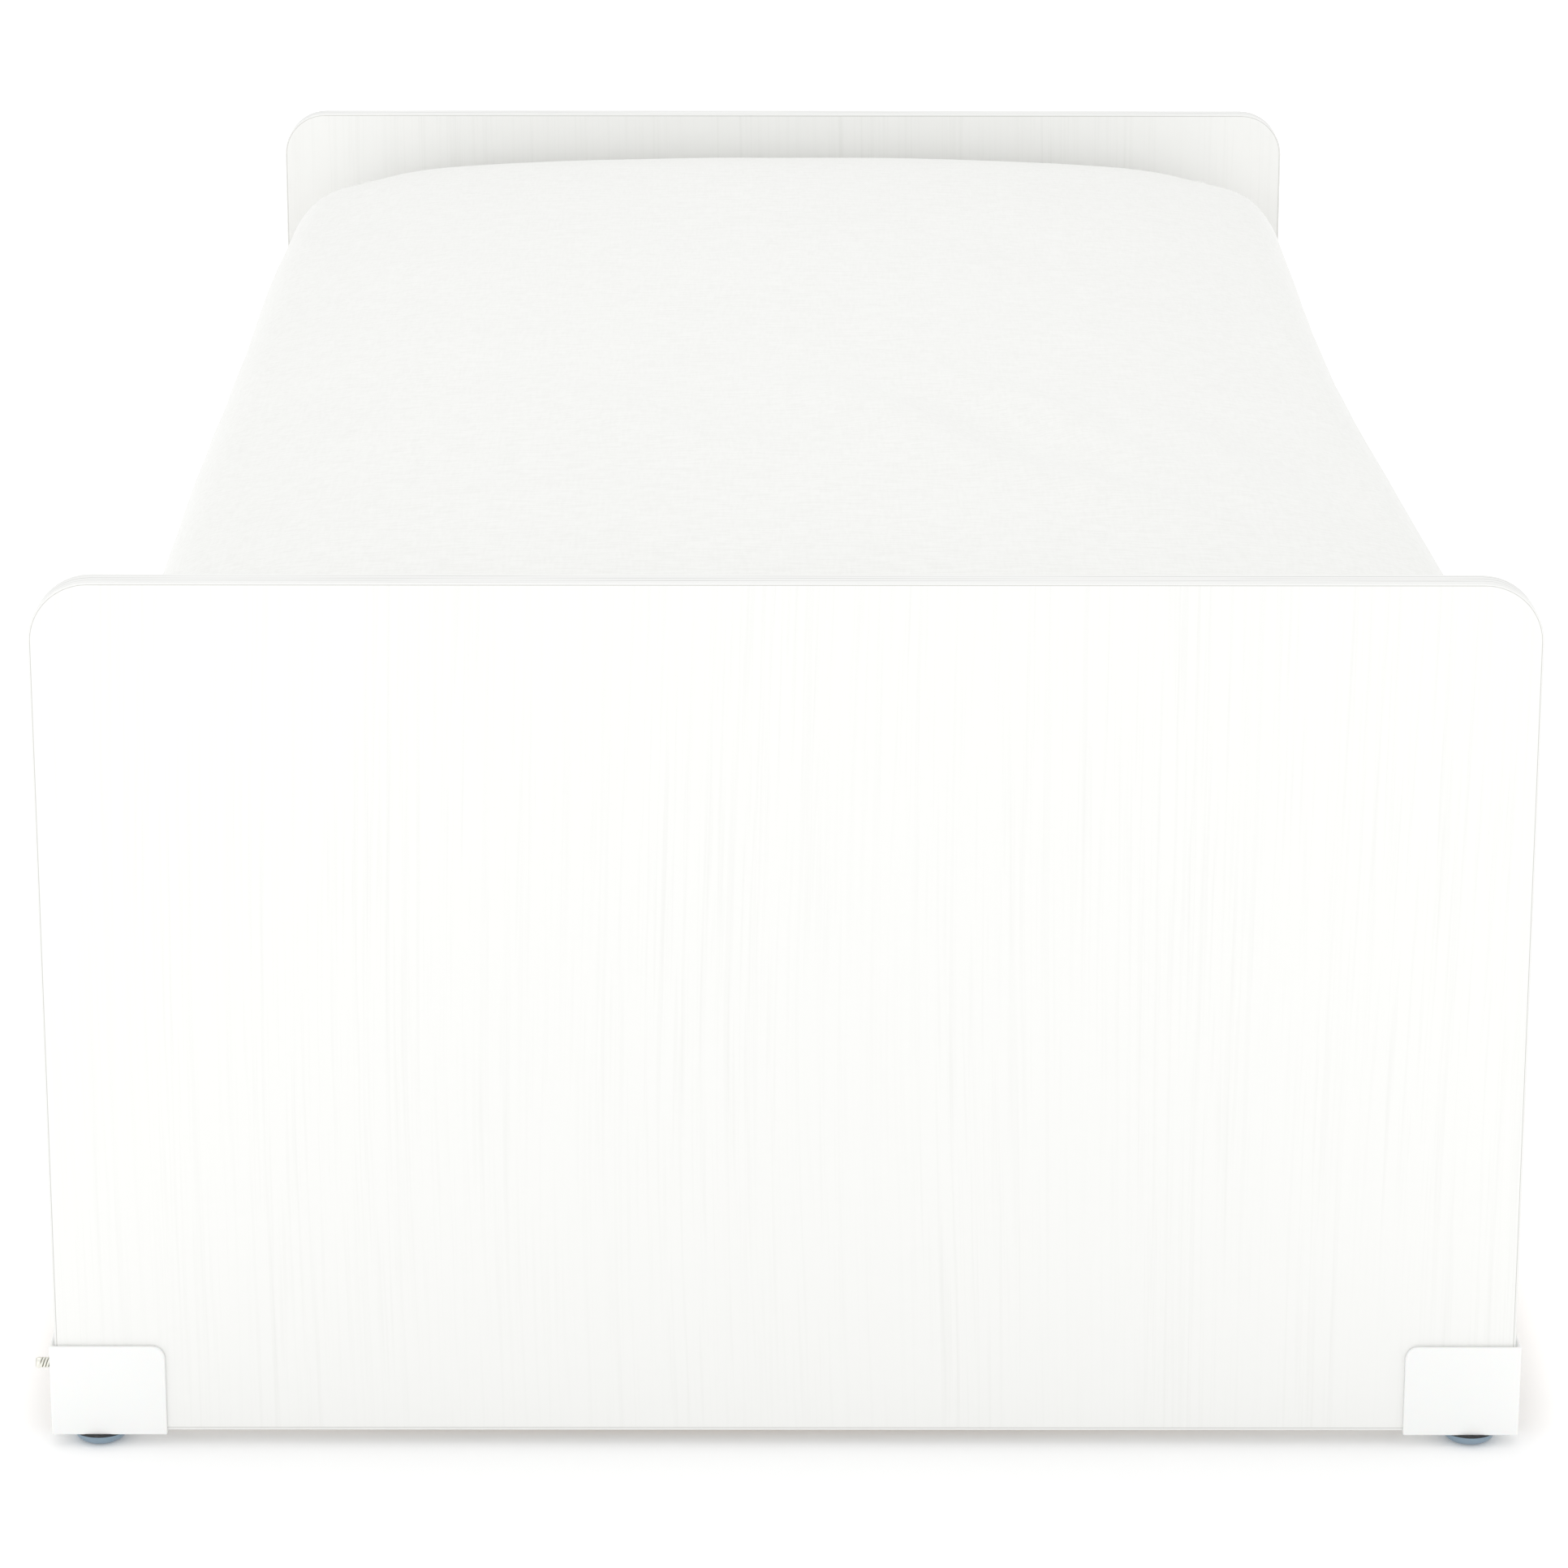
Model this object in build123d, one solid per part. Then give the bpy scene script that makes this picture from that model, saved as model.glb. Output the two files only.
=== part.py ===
"""Toddler bed: laminated end boards on plastic corner shoes, side rails, a loose slatted base, a mattress.

Millimetres. +Z is up, the footboard is at -Y and the headboard at +Y.
The origin is on the floor at the middle of the bed.
"""

from build123d import *
import os

# ---- Driving dimensions ----------------------------------------------------------------------------

BOARD_WIDTH = 740.0
BOARD_HEIGHT = 443.6
BOARD_THICKNESS = 18.0
BOARD_CORNER_RADIUS = 30.0
BAND_THICKNESS = 1.0
BAND_ARRIS_RADIUS = 0.5

MATTRESS_WIDTH = 704.0
MATTRESS_LENGTH = 1400.0
MATTRESS_HEIGHT = 132.0
MATTRESS_END_PLAY = 10.0
MATTRESS_TURN = 0.35
SIDE_TUCK = 24.0
END_TUCK = 14.0
SHOULDER_INSET = 46.0
SIDE_SHOULDER_DROP = 14.0
END_SHOULDER_DROP = 6.0
CORNER_RADIUS = 70.0
CORNER_BULGE = 7.0
SOFT_GAP = 0.3

GLIDE_HEIGHT = 6.1
GLIDE_DIAMETER = 27.0
GLIDE_FLAT_DIAMETER = 15.0
GLIDE_RIM = 0.4
GLIDE_INSET = 21.0
CUP_THICKNESS = 0.8
CUP_INSET = 0.15

SHOE_WALL = 2.0
SHOE_SIDE_WALL = 2.4
SHOE_PLAY = 0.3
SHOE_WIDTH = 58.5
SHOE_HEIGHT = 48.0
SHOE_CORNER_RADIUS = 7.0
SHOE_EDGE_ROUND = 0.7
SHOE_LEAD_IN = 1.2

RAIL_THICKNESS = 18.0
RAIL_HEIGHT = 120.0
RAIL_TOP = 307.0
RAIL_INSET = 2.0

LEDGER_WIDTH = 22.0
LEDGER_HEIGHT = 28.0
LEDGER_END_GAP = 52.0
LEDGER_SCREW_COUNT = 6

SLAT_COUNT = 13
SLAT_WIDTH = 68.0
SLAT_THICKNESS = 14.0
SLAT_END_PLAY = 2.0
SLAT_END_MARGIN = 4.0
SLAT_EDGE_ROUND = 2.0
SLAT_TOP_BELOW_RAIL = 15.0

STRAP_WIDTH = 25.0
STRAP_THICKNESS = 1.2
STRAP_OFFSET = 170.0
STAPLE_WIRE = 0.8
STAPLE_CROWN = 9.0
STAPLE_LEG = 9.0
STAPLE_SPREAD = 18.0

CAM_RADIUS = 7.5
CAM_DEPTH = 12.5
CAM_SETBACK = 34.0
CAM_PLAY = 0.05
CAM_HEIGHTS = (30.0, 80.0)
DOWEL_HEIGHT = 55.0
DOWEL_RADIUS = 4.0
DOWEL_LENGTH = 35.0
DOWEL_IN_BOARD = 11.5

BOLT_THREAD_RADIUS = 3.0
BOLT_WAIST_RADIUS = 2.1
BOLT_HEAD_RADIUS = 3.5
BOLT_IN_BOARD = 11.0
BOLT_BORE_RADIUS = 4.0
CAP_OVERLAP = 1.2
CAP_THICKNESS = 0.9

PIN_RADIUS = 3.0
PIN_HOLE_RADIUS = 3.5
PIN_LENGTH = 30.0
PIN_PROUD = 10.0
PIN_FROM_RAIL = 12.0
PEG_CHAMFER = 0.8

SCREW_SHANK_RADIUS = 1.75
SCREW_HEAD_RADIUS = 3.6
SCREW_HEAD_DEPTH = 2.0
SCREW_POINT = 3.0
GLIDE_SCREW_LENGTH = 20.0
GLIDE_SCREW_RECESS = 1.2
SHOE_SCREW_LENGTH = 15.0
LEDGER_SCREW_LENGTH = 34.0
LEDGER_SCREW_SPAN = 0.85

SHEET_THICKNESS = 1.0
COVER_THICKNESS = 3.0
LAYER_GAP = 0.2
HEM_WIDTH = 70.0

STUD_RADIUS = 2.85
STUD_ROOT_RADIUS = 2.25
STUD_PITCH = 1.7
STUD_PROUD = 8.2
STUD_DEPTH = 20.0
STUD_HEIGHT = 41.0

# ---- Sizes and places worked out from them ---------------------------------------------------------

OVERCUT = 1.0
INNER_LENGTH = MATTRESS_LENGTH + 2 * MATTRESS_END_PLAY
BOARD_MIDDLE_Y = INNER_LENGTH / 2 + BOARD_THICKNESS / 2
BOARD_BOTTOM = GLIDE_HEIGHT + SHOE_WALL
BOARD_TOP = BOARD_BOTTOM + BOARD_HEIGHT
BOARD_HALF_WIDTH = BOARD_WIDTH / 2

RAIL_MIDDLE_X = BOARD_HALF_WIDTH - RAIL_INSET - RAIL_THICKNESS / 2
RAIL_INNER_X = RAIL_MIDDLE_X - RAIL_THICKNESS / 2
RAIL_BOTTOM = RAIL_TOP - RAIL_HEIGHT

SLAT_TOP = RAIL_TOP - SLAT_TOP_BELOW_RAIL
SLAT_BOTTOM = SLAT_TOP - SLAT_THICKNESS
SLAT_LENGTH = 2 * (RAIL_INNER_X - SLAT_END_PLAY)
LEDGER_HALF_LENGTH = INNER_LENGTH / 2 - LEDGER_END_GAP
END_SLAT_Y = LEDGER_HALF_LENGTH - SLAT_WIDTH / 2 - SLAT_END_MARGIN

PIN_X = RAIL_INNER_X - PIN_FROM_RAIL
PIN_LOW = SLAT_BOTTOM + PIN_PROUD - PIN_LENGTH

GLIDE_X = BOARD_HALF_WIDTH - GLIDE_INSET
MATTRESS_BOTTOM = SLAT_TOP + SOFT_GAP
MATTRESS_HALF_WIDTH = MATTRESS_WIDTH / 2
MATTRESS_HALF_LENGTH = MATTRESS_LENGTH / 2


# ---- Small helpers ---------------------------------------------------------------------------------


def block(low, high):
    """A box between two opposite corners."""
    size = [b - a for a, b in zip(low, high)]
    middle = [(a + b) / 2 for a, b in zip(low, high)]
    return Pos(*middle) * Box(*size)


def rod(start, direction, radius, length):
    """A cylinder that begins at start and runs along direction."""
    plane = Plane(origin=start, z_dir=direction)
    return plane * Cylinder(radius, length, align=(Align.CENTER, Align.CENTER, Align.MIN))


def turned(profile, start, direction):
    """A solid of revolution from (radius, distance) points, placed at start and running along direction."""
    outline = make_face(Polyline(*profile, close=True).edges())
    upright = revolve(Plane.XZ * outline, Axis.Z)
    return Plane(origin=start, z_dir=direction) * upright


def wood_screw(start, direction, length):
    """A countersunk wood screw whose flat head lies at start and whose point runs along direction."""
    profile = [
        (0, 0),
        (SCREW_HEAD_RADIUS, 0),
        (SCREW_SHANK_RADIUS, SCREW_HEAD_DEPTH),
        (SCREW_SHANK_RADIUS, length - SCREW_POINT),
        (0, length),
    ]
    return turned(profile, start, direction)


def cross_recess(start, direction, span=3.4, width=0.9, depth=1.3):
    """The cross slot in a screw head, as a cutting tool."""
    plane = Plane(origin=start, z_dir=direction)
    low = (Align.CENTER, Align.CENTER, Align.MIN)
    return plane * (Box(span, width, depth, align=low) + Box(width, span, depth, align=low))


def group(solids):
    """Several separate solids that share one node."""
    return Compound(children=list(solids))


def at_head(solid):
    """The same piece at the headboard end."""
    return mirror(solid, about=Plane.XZ)


def at_left(solid):
    """The same piece on the left side."""
    return mirror(solid, about=Plane.YZ)


# ---- End boards ------------------------------------------------------------------------------------


def board_face(inset):
    """The end board's outline in X and Z, with its two top corners rounded, shrunk by inset."""
    half = BOARD_HALF_WIDTH - inset
    low = BOARD_BOTTOM + inset
    high = BOARD_TOP - inset
    outline = Rectangle(2 * half, high - low)
    top_corners = outline.vertices().group_by(Axis.Y)[-1]
    outline = fillet(top_corners, BOARD_CORNER_RADIUS - inset)
    return Plane.XZ * Pos(0, (low + high) / 2) * outline


def foot_board_solid(inset, thickness=BOARD_THICKNESS):
    """The footboard's outline given a thickness about its middle plane."""
    middle = Pos(0, -BOARD_MIDDLE_Y, 0) * board_face(inset)
    return extrude(middle, amount=thickness / 2, both=True)


def foot_panel():
    """The laminated core, with blind holes for the dowels and bolts of both rails."""
    panel = foot_board_solid(BAND_THICKNESS)
    inner_face = -INNER_LENGTH / 2
    for side in (-1, 1):
        x = side * RAIL_MIDDLE_X
        mouth = (x, inner_face, RAIL_BOTTOM + DOWEL_HEIGHT)
        panel -= rod(mouth, (0, -1, 0), DOWEL_RADIUS, DOWEL_IN_BOARD + 0.5)
        for height in CAM_HEIGHTS:
            panel -= rod((x, inner_face, RAIL_BOTTOM + height), (0, -1, 0), BOLT_THREAD_RADIUS, BOLT_IN_BOARD)
    return panel


def foot_edge_band():
    """The plastic edging over one side, the top and the other side, with rounded arrises."""
    outer = foot_board_solid(0)
    faces = outer.faces().filter_by(Axis.Y)
    arrises = [e for f in faces for e in f.edges() if e.center().Z > BOARD_BOTTOM + 1]
    outer = fillet(arrises, BAND_ARRIS_RADIUS)
    core = foot_board_solid(BAND_THICKNESS, BOARD_THICKNESS + 2 * OVERCUT)
    below = block(
        (-BOARD_HALF_WIDTH + BAND_THICKNESS, -BOARD_MIDDLE_Y - BOARD_THICKNESS, 0),
        (BOARD_HALF_WIDTH - BAND_THICKNESS, -BOARD_MIDDLE_Y + BOARD_THICKNESS, BOARD_BOTTOM + 2),
    )
    return outer - core - below


def foot_bottom_band():
    """The straight strip of edging along the bottom edge."""
    half = BOARD_HALF_WIDTH - BAND_THICKNESS
    back = -BOARD_MIDDLE_Y + BOARD_THICKNESS / 2
    front = -BOARD_MIDDLE_Y - BOARD_THICKNESS / 2
    return block((-half, front, BOARD_BOTTOM), (half, back, BOARD_BOTTOM + BAND_THICKNESS))


# ---- Corner shoes and glides -----------------------------------------------------------------------


def shoe_lead_in(left):
    """The flare round the mouth of the right foot shoe's pocket, as a cutting tool."""
    top = GLIDE_HEIGHT + SHOE_HEIGHT
    right = BOARD_HALF_WIDTH + SHOE_PLAY
    half_depth = BOARD_THICKNESS / 2 + SHOE_PLAY
    levels = []
    for height, growth in ((top - SHOE_LEAD_IN, 0), (top + OVERCUT, SHOE_LEAD_IN + OVERCUT)):
        mouth = Rectangle(right - left + 2 * growth, 2 * (half_depth + growth))
        levels.append(Plane.XY.offset(height) * Pos((left + right) / 2, -BOARD_MIDDLE_Y) * mouth)
    return loft(levels)


def foot_shoe():
    """The right foot corner shoe: a moulded cap over the board's corner, open towards its top and middle."""
    right = BOARD_HALF_WIDTH + SHOE_PLAY + SHOE_SIDE_WALL
    left = right - SHOE_WIDTH
    half_depth = BOARD_THICKNESS / 2 + SHOE_PLAY + SHOE_WALL
    outline = Pos((left + right) / 2, GLIDE_HEIGHT + SHOE_HEIGHT / 2) * Rectangle(SHOE_WIDTH, SHOE_HEIGHT)
    top_left = outline.vertices().group_by(Axis.Y)[-1].sort_by(Axis.X)[0]
    outline = fillet(top_left, SHOE_CORNER_RADIUS)
    shoe = extrude(Pos(0, -BOARD_MIDDLE_Y, 0) * (Plane.XZ * outline), amount=half_depth, both=True)
    shoe = fillet(shoe.edges(), SHOE_EDGE_ROUND)
    inner_half = BOARD_THICKNESS / 2 + SHOE_PLAY
    shoe -= block(
        (left - OVERCUT, -BOARD_MIDDLE_Y - inner_half, BOARD_BOTTOM),
        (BOARD_HALF_WIDTH + SHOE_PLAY, -BOARD_MIDDLE_Y + inner_half, GLIDE_HEIGHT + SHOE_HEIGHT + OVERCUT),
    )
    return shoe - shoe_lead_in(left - OVERCUT)


def shoe_screw():
    """The screw through the shoe's inner wall into the board."""
    x = BOARD_HALF_WIDTH - SHOE_WIDTH / 2
    y = -BOARD_MIDDLE_Y + BOARD_THICKNESS / 2 + SHOE_PLAY + SHOE_WALL
    return (x, y, GLIDE_HEIGHT + SHOE_HEIGHT / 2), (0, -1, 0), SHOE_SCREW_LENGTH


def glide_screw():
    """The screw up through the glide and the shoe into the board's bottom edge."""
    return (GLIDE_X, -BOARD_MIDDLE_Y, GLIDE_SCREW_RECESS), (0, 0, 1), GLIDE_SCREW_LENGTH


def glide_pad():
    """The domed sliding pad, flat where it stands, with a recess for the screw head."""
    radius = GLIDE_DIAMETER / 2
    flat = GLIDE_FLAT_DIAMETER / 2
    height = GLIDE_HEIGHT - CUP_THICKNESS
    rim_low = (radius, height - GLIDE_RIM)
    flat_line = Line((0, 0), (flat, 0))
    dome = TangentArc((flat, 0), rim_low, tangent=(1, 0))
    back = Polyline(rim_low, (radius, height), (0, height), (0, 0))
    outline = make_face((flat_line + dome + back).edges())
    pad = Pos(GLIDE_X, -BOARD_MIDDLE_Y, 0) * revolve(Plane.XZ * outline, Axis.Z)
    mouth = (GLIDE_X, -BOARD_MIDDLE_Y, -OVERCUT)
    return pad - rod(mouth, (0, 0, 1), SCREW_HEAD_RADIUS + 0.2, OVERCUT + GLIDE_SCREW_RECESS)


def glide_cup():
    """The thin dark seat between the pad and the shoe."""
    low = GLIDE_HEIGHT - CUP_THICKNESS
    return rod((GLIDE_X, -BOARD_MIDDLE_Y, low), (0, 0, 1), GLIDE_DIAMETER / 2 - CUP_INSET, CUP_THICKNESS)


# ---- Side rails and their hidden joints ------------------------------------------------------------


def rail_core():
    """The right rail's laminated core, with the cams' pockets and the end bores at both ends."""
    half = INNER_LENGTH / 2
    low = RAIL_BOTTOM + BAND_THICKNESS
    high = RAIL_TOP - BAND_THICKNESS
    outer_x = RAIL_INNER_X + RAIL_THICKNESS
    rail = block((RAIL_INNER_X, -half, low), (outer_x, half, high))
    for end in (-1, 1):
        towards_middle = (0, -end, 0)
        for height in CAM_HEIGHTS:
            z = RAIL_BOTTOM + height
            rail -= rod((RAIL_INNER_X, end * (half - CAM_SETBACK), z), (1, 0, 0), CAM_RADIUS, CAM_DEPTH)
            rail -= rod((RAIL_MIDDLE_X, end * half, z), towards_middle, BOLT_BORE_RADIUS, CAM_SETBACK)
        in_rail = DOWEL_LENGTH - DOWEL_IN_BOARD + 1.5
        start = (RAIL_MIDDLE_X, end * half, RAIL_BOTTOM + DOWEL_HEIGHT)
        rail -= rod(start, towards_middle, DOWEL_RADIUS, in_rail)
    return rail


def rail_band(low):
    """One straight strip of edging on the right rail, starting at height low."""
    half = INNER_LENGTH / 2
    strip = block((RAIL_INNER_X, -half, low), (RAIL_INNER_X + RAIL_THICKNESS, half, low + BAND_THICKNESS))
    outer_side = -1 if low > RAIL_BOTTOM else 0
    arrises = strip.edges().filter_by(Axis.Y).group_by(Axis.Z)[outer_side]
    return fillet(arrises, BAND_ARRIS_RADIUS)


def foot_cam(height):
    """A right-hand cam lock: a turned disc with a screwdriver slot and a pocket for the bolt's head."""
    middle_y = -(INNER_LENGTH / 2 - CAM_SETBACK)
    z = RAIL_BOTTOM + height
    cam = rod((RAIL_INNER_X + 0.2, middle_y, z), (1, 0, 0), CAM_RADIUS - CAM_PLAY, CAM_DEPTH - 0.2)
    mouth = (RAIL_MIDDLE_X, middle_y - CAM_RADIUS - OVERCUT, z)
    cam -= rod(mouth, (0, 1, 0), BOLT_BORE_RADIUS, CAM_RADIUS + 5)
    cam -= cross_recess((RAIL_INNER_X, middle_y, z), (1, 0, 0), span=9.0, width=1.4, depth=2.0)
    return cam


def foot_bolt(height):
    """A right-hand connecting bolt: threaded into the board, with a waisted head inside the cam."""
    reach = CAM_SETBACK + 2
    profile = [
        (0, -BOLT_IN_BOARD),
        (BOLT_THREAD_RADIUS, -BOLT_IN_BOARD),
        (BOLT_THREAD_RADIUS, CAM_SETBACK - 6),
        (BOLT_WAIST_RADIUS, CAM_SETBACK - 5),
        (BOLT_WAIST_RADIUS, reach - 3),
        (BOLT_HEAD_RADIUS, reach - 3),
        (BOLT_HEAD_RADIUS, reach - 1),
        (BOLT_HEAD_RADIUS - 1, reach),
        (0, reach),
    ]
    return turned(profile, (RAIL_MIDDLE_X, -INNER_LENGTH / 2, RAIL_BOTTOM + height), (0, 1, 0))


def foot_dowel():
    """A right-hand wooden dowel, chamfered at both ends."""
    start = (RAIL_MIDDLE_X, -INNER_LENGTH / 2 - DOWEL_IN_BOARD, RAIL_BOTTOM + DOWEL_HEIGHT)
    dowel = rod(start, (0, 1, 0), DOWEL_RADIUS, DOWEL_LENGTH)
    return chamfer(dowel.edges().filter_by(GeomType.CIRCLE), PEG_CHAMFER)


def foot_cam_cap(height):
    """A right-hand cover cap that lies over the cam on the rail's inner face."""
    middle_y = -(INNER_LENGTH / 2 - CAM_SETBACK)
    centre = (RAIL_INNER_X, middle_y, RAIL_BOTTOM + height)
    cap = rod(centre, (-1, 0, 0), CAM_RADIUS + CAP_OVERLAP, CAP_THICKNESS)
    rim = cap.edges().filter_by(GeomType.CIRCLE).sort_by(Axis.X)[0]
    return fillet(rim, 0.5)


def four_corners(solid):
    """The piece at all four corners of the frame, from the one at the right foot corner."""
    foot_pair = [solid, at_left(solid)]
    return foot_pair + [at_head(piece) for piece in foot_pair]


# ---- Ledgers ---------------------------------------------------------------------------------------


def ledger_screws():
    """Start, direction and length of the right ledger's screws, evenly spaced."""
    span = 2 * LEDGER_HALF_LENGTH * LEDGER_SCREW_SPAN
    pitch = span / (LEDGER_SCREW_COUNT - 1)
    z = SLAT_BOTTOM - LEDGER_HEIGHT / 2
    x = RAIL_INNER_X - LEDGER_WIDTH
    starts = [(x, -span / 2 + i * pitch, z) for i in range(LEDGER_SCREW_COUNT)]
    return [(start, (1, 0, 0), LEDGER_SCREW_LENGTH) for start in starts]


def ledger_pin(end):
    """A right-hand locating pin that stands in the ledger and keys the end slat."""
    start = (PIN_X, end * END_SLAT_Y, PIN_LOW)
    pin = rod(start, (0, 0, 1), PIN_RADIUS, PIN_LENGTH)
    return chamfer(pin.edges().filter_by(GeomType.CIRCLE), PEG_CHAMFER)


def ledger():
    """The right ledger, a square batten with eased edges that carries the slats."""
    batten = block(
        (RAIL_INNER_X - LEDGER_WIDTH, -LEDGER_HALF_LENGTH, SLAT_BOTTOM - LEDGER_HEIGHT),
        (RAIL_INNER_X, LEDGER_HALF_LENGTH, SLAT_BOTTOM),
    )
    inner_edges = batten.edges().filter_by(Axis.Y).group_by(Axis.X)[0]
    batten = fillet(inner_edges, 1.5)
    for end in (-1, 1):
        batten -= rod((PIN_X, end * END_SLAT_Y, PIN_LOW), (0, 0, 1), PIN_RADIUS, PIN_LENGTH)
    return batten


# ---- Slatted base ----------------------------------------------------------------------------------


def slat_positions():
    """Y of each slat's middle, from foot to head."""
    pitch = 2 * END_SLAT_Y / (SLAT_COUNT - 1)
    return [-END_SLAT_Y + i * pitch for i in range(SLAT_COUNT)]


def staples_at(y):
    """The four staples that hold both straps to the slat at y."""
    solids = []
    crown_top = SLAT_BOTTOM - STRAP_THICKNESS
    half = STAPLE_CROWN / 2
    wire = STAPLE_WIRE
    for x in (-STRAP_OFFSET, STRAP_OFFSET):
        for dy in (-STAPLE_SPREAD, STAPLE_SPREAD):
            low_y = y + dy - wire / 2
            staple = block((x - half, low_y, crown_top - wire), (x + half, low_y + wire, crown_top))
            for leg_x in (x - half, x + half - wire):
                top = crown_top + STAPLE_LEG
                staple += block((leg_x, low_y, crown_top - wire), (leg_x + wire, low_y + wire, top))
            solids.append(staple)
    return solids


def slat(y, staples, is_end):
    """One slat with eased long edges, and the locating holes if it is an end slat."""
    half = SLAT_LENGTH / 2
    board = block((-half, y - SLAT_WIDTH / 2, SLAT_BOTTOM), (half, y + SLAT_WIDTH / 2, SLAT_TOP))
    board = fillet(board.edges().filter_by(Axis.X), SLAT_EDGE_ROUND)
    for staple in staples:
        board -= staple
    if is_end:
        for x in (-PIN_X, PIN_X):
            below = (x, y, SLAT_BOTTOM - OVERCUT)
            board -= rod(below, (0, 0, 1), PIN_HOLE_RADIUS, SLAT_THICKNESS + 2 * OVERCUT)
    return board


def strap(x, staples):
    """One webbing strap under the slats, pierced by its staples."""
    half_length = END_SLAT_Y + SLAT_WIDTH / 2 - 6
    low = (x - STRAP_WIDTH / 2, -half_length, SLAT_BOTTOM - STRAP_THICKNESS)
    high = (x + STRAP_WIDTH / 2, half_length, SLAT_BOTTOM)
    webbing = block(low, high)
    for staple in staples:
        webbing -= staple
    return webbing


# ---- Mattress --------------------------------------------------------------------------------------


def crowned_outline(half_widest, tuck, shoulder_drop, inset):
    """A crowned outline: flat below, one arc for each side and one for the top, shrunk by inset."""
    low = MATTRESS_BOTTOM + inset
    top = MATTRESS_BOTTOM + MATTRESS_HEIGHT - inset
    widest = MATTRESS_BOTTOM + MATTRESS_HEIGHT * 0.45
    shoulder = top - shoulder_drop
    bulge = half_widest - inset
    base = bulge - tuck
    corner = bulge - SHOULDER_INSET
    bottom = Line((-base, low), (base, low))
    right = ThreePointArc((base, low), (bulge, widest), (corner, shoulder))
    crown = ThreePointArc((corner, shoulder), (0, top), (-corner, shoulder))
    left = ThreePointArc((-corner, shoulder), (-bulge, widest), (-base, low))
    return make_face((bottom + right + crown + left).edges())


def mattress_form(inset):
    """The mattress's crowned block with rounded corners, shrunk by inset on every side."""
    half_width, half_length = MATTRESS_HALF_WIDTH, MATTRESS_HALF_LENGTH
    across = crowned_outline(half_width, SIDE_TUCK, SIDE_SHOULDER_DROP, inset)
    along = crowned_outline(half_length, END_TUCK, END_SHOULDER_DROP, inset)
    cross = extrude(Plane.XZ * across, amount=half_length * 1.1, both=True)
    lengthwise = extrude(Plane.YZ * along, amount=half_width * 1.1, both=True)
    plan_width = 2 * (half_width + CORNER_BULGE - inset)
    plan_length = 2 * (half_length + CORNER_BULGE - inset)
    plan = RectangleRounded(plan_width, plan_length, CORNER_RADIUS - inset)
    upright = Pos(0, 0, MATTRESS_BOTTOM - OVERCUT) * extrude(plan, amount=MATTRESS_HEIGHT + 2 * OVERCUT)
    return Rot(0, 0, MATTRESS_TURN) * (cross & lengthwise & upright)


def mattress_core():
    """The foam block."""
    return mattress_form(SHEET_THICKNESS + COVER_THICKNESS + 2 * LAYER_GAP)


def mattress_cover():
    """The closed quilted cover round the foam."""
    outer = mattress_form(SHEET_THICKNESS + LAYER_GAP)
    return outer - mattress_form(SHEET_THICKNESS + COVER_THICKNESS + LAYER_GAP)


def fitted_sheet():
    """The fitted sheet: it covers the top and sides and turns under by the width of its hem."""
    shell = mattress_form(0) - mattress_form(SHEET_THICKNESS)
    half_x = MATTRESS_HALF_WIDTH - SIDE_TUCK - HEM_WIDTH
    half_y = MATTRESS_HALF_LENGTH - END_TUCK - HEM_WIDTH
    low = MATTRESS_BOTTOM - OVERCUT
    mouth = block((-half_x, -half_y, low), (half_x, half_y, MATTRESS_BOTTOM + SHEET_THICKNESS))
    return shell - Rot(0, 0, MATTRESS_TURN) * mouth


# ---- Threaded stud ---------------------------------------------------------------------------------


def side_stud():
    """A threaded stud that stands out of the left foot shoe, its thread drawn as rings."""
    outer_x = -(BOARD_HALF_WIDTH + SHOE_PLAY + SHOE_SIDE_WALL)
    profile = [(0, -STUD_DEPTH), (STUD_ROOT_RADIUS, -STUD_DEPTH), (STUD_ROOT_RADIUS, 0)]
    count = int(STUD_PROUD / STUD_PITCH)
    for i in range(count):
        base = i * STUD_PITCH
        profile.append((STUD_ROOT_RADIUS, base + 0.1))
        profile.append((STUD_RADIUS, base + 0.6 * STUD_PITCH))
        profile.append((STUD_ROOT_RADIUS, base + STUD_PITCH))
    profile.append((STUD_ROOT_RADIUS * 0.7, STUD_PROUD))
    profile.append((0, STUD_PROUD))
    return turned(profile, (outer_x, -BOARD_MIDDLE_Y, STUD_HEIGHT), (-1, 0, 0))


# ---- Assembly --------------------------------------------------------------------------------------


def with_screws(places):
    """Each screw as (the full blank that cuts its hole, the finished screw with its cross recess)."""
    finished = []
    for start, direction, length in places:
        blank = wood_screw(start, direction, length)
        finished.append((blank, blank - cross_recess(start, direction)))
    return finished


def cut_by(solid, tools):
    """The solid with the room for each tool taken out."""
    for tool in tools:
        solid -= tool
    return solid


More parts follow.
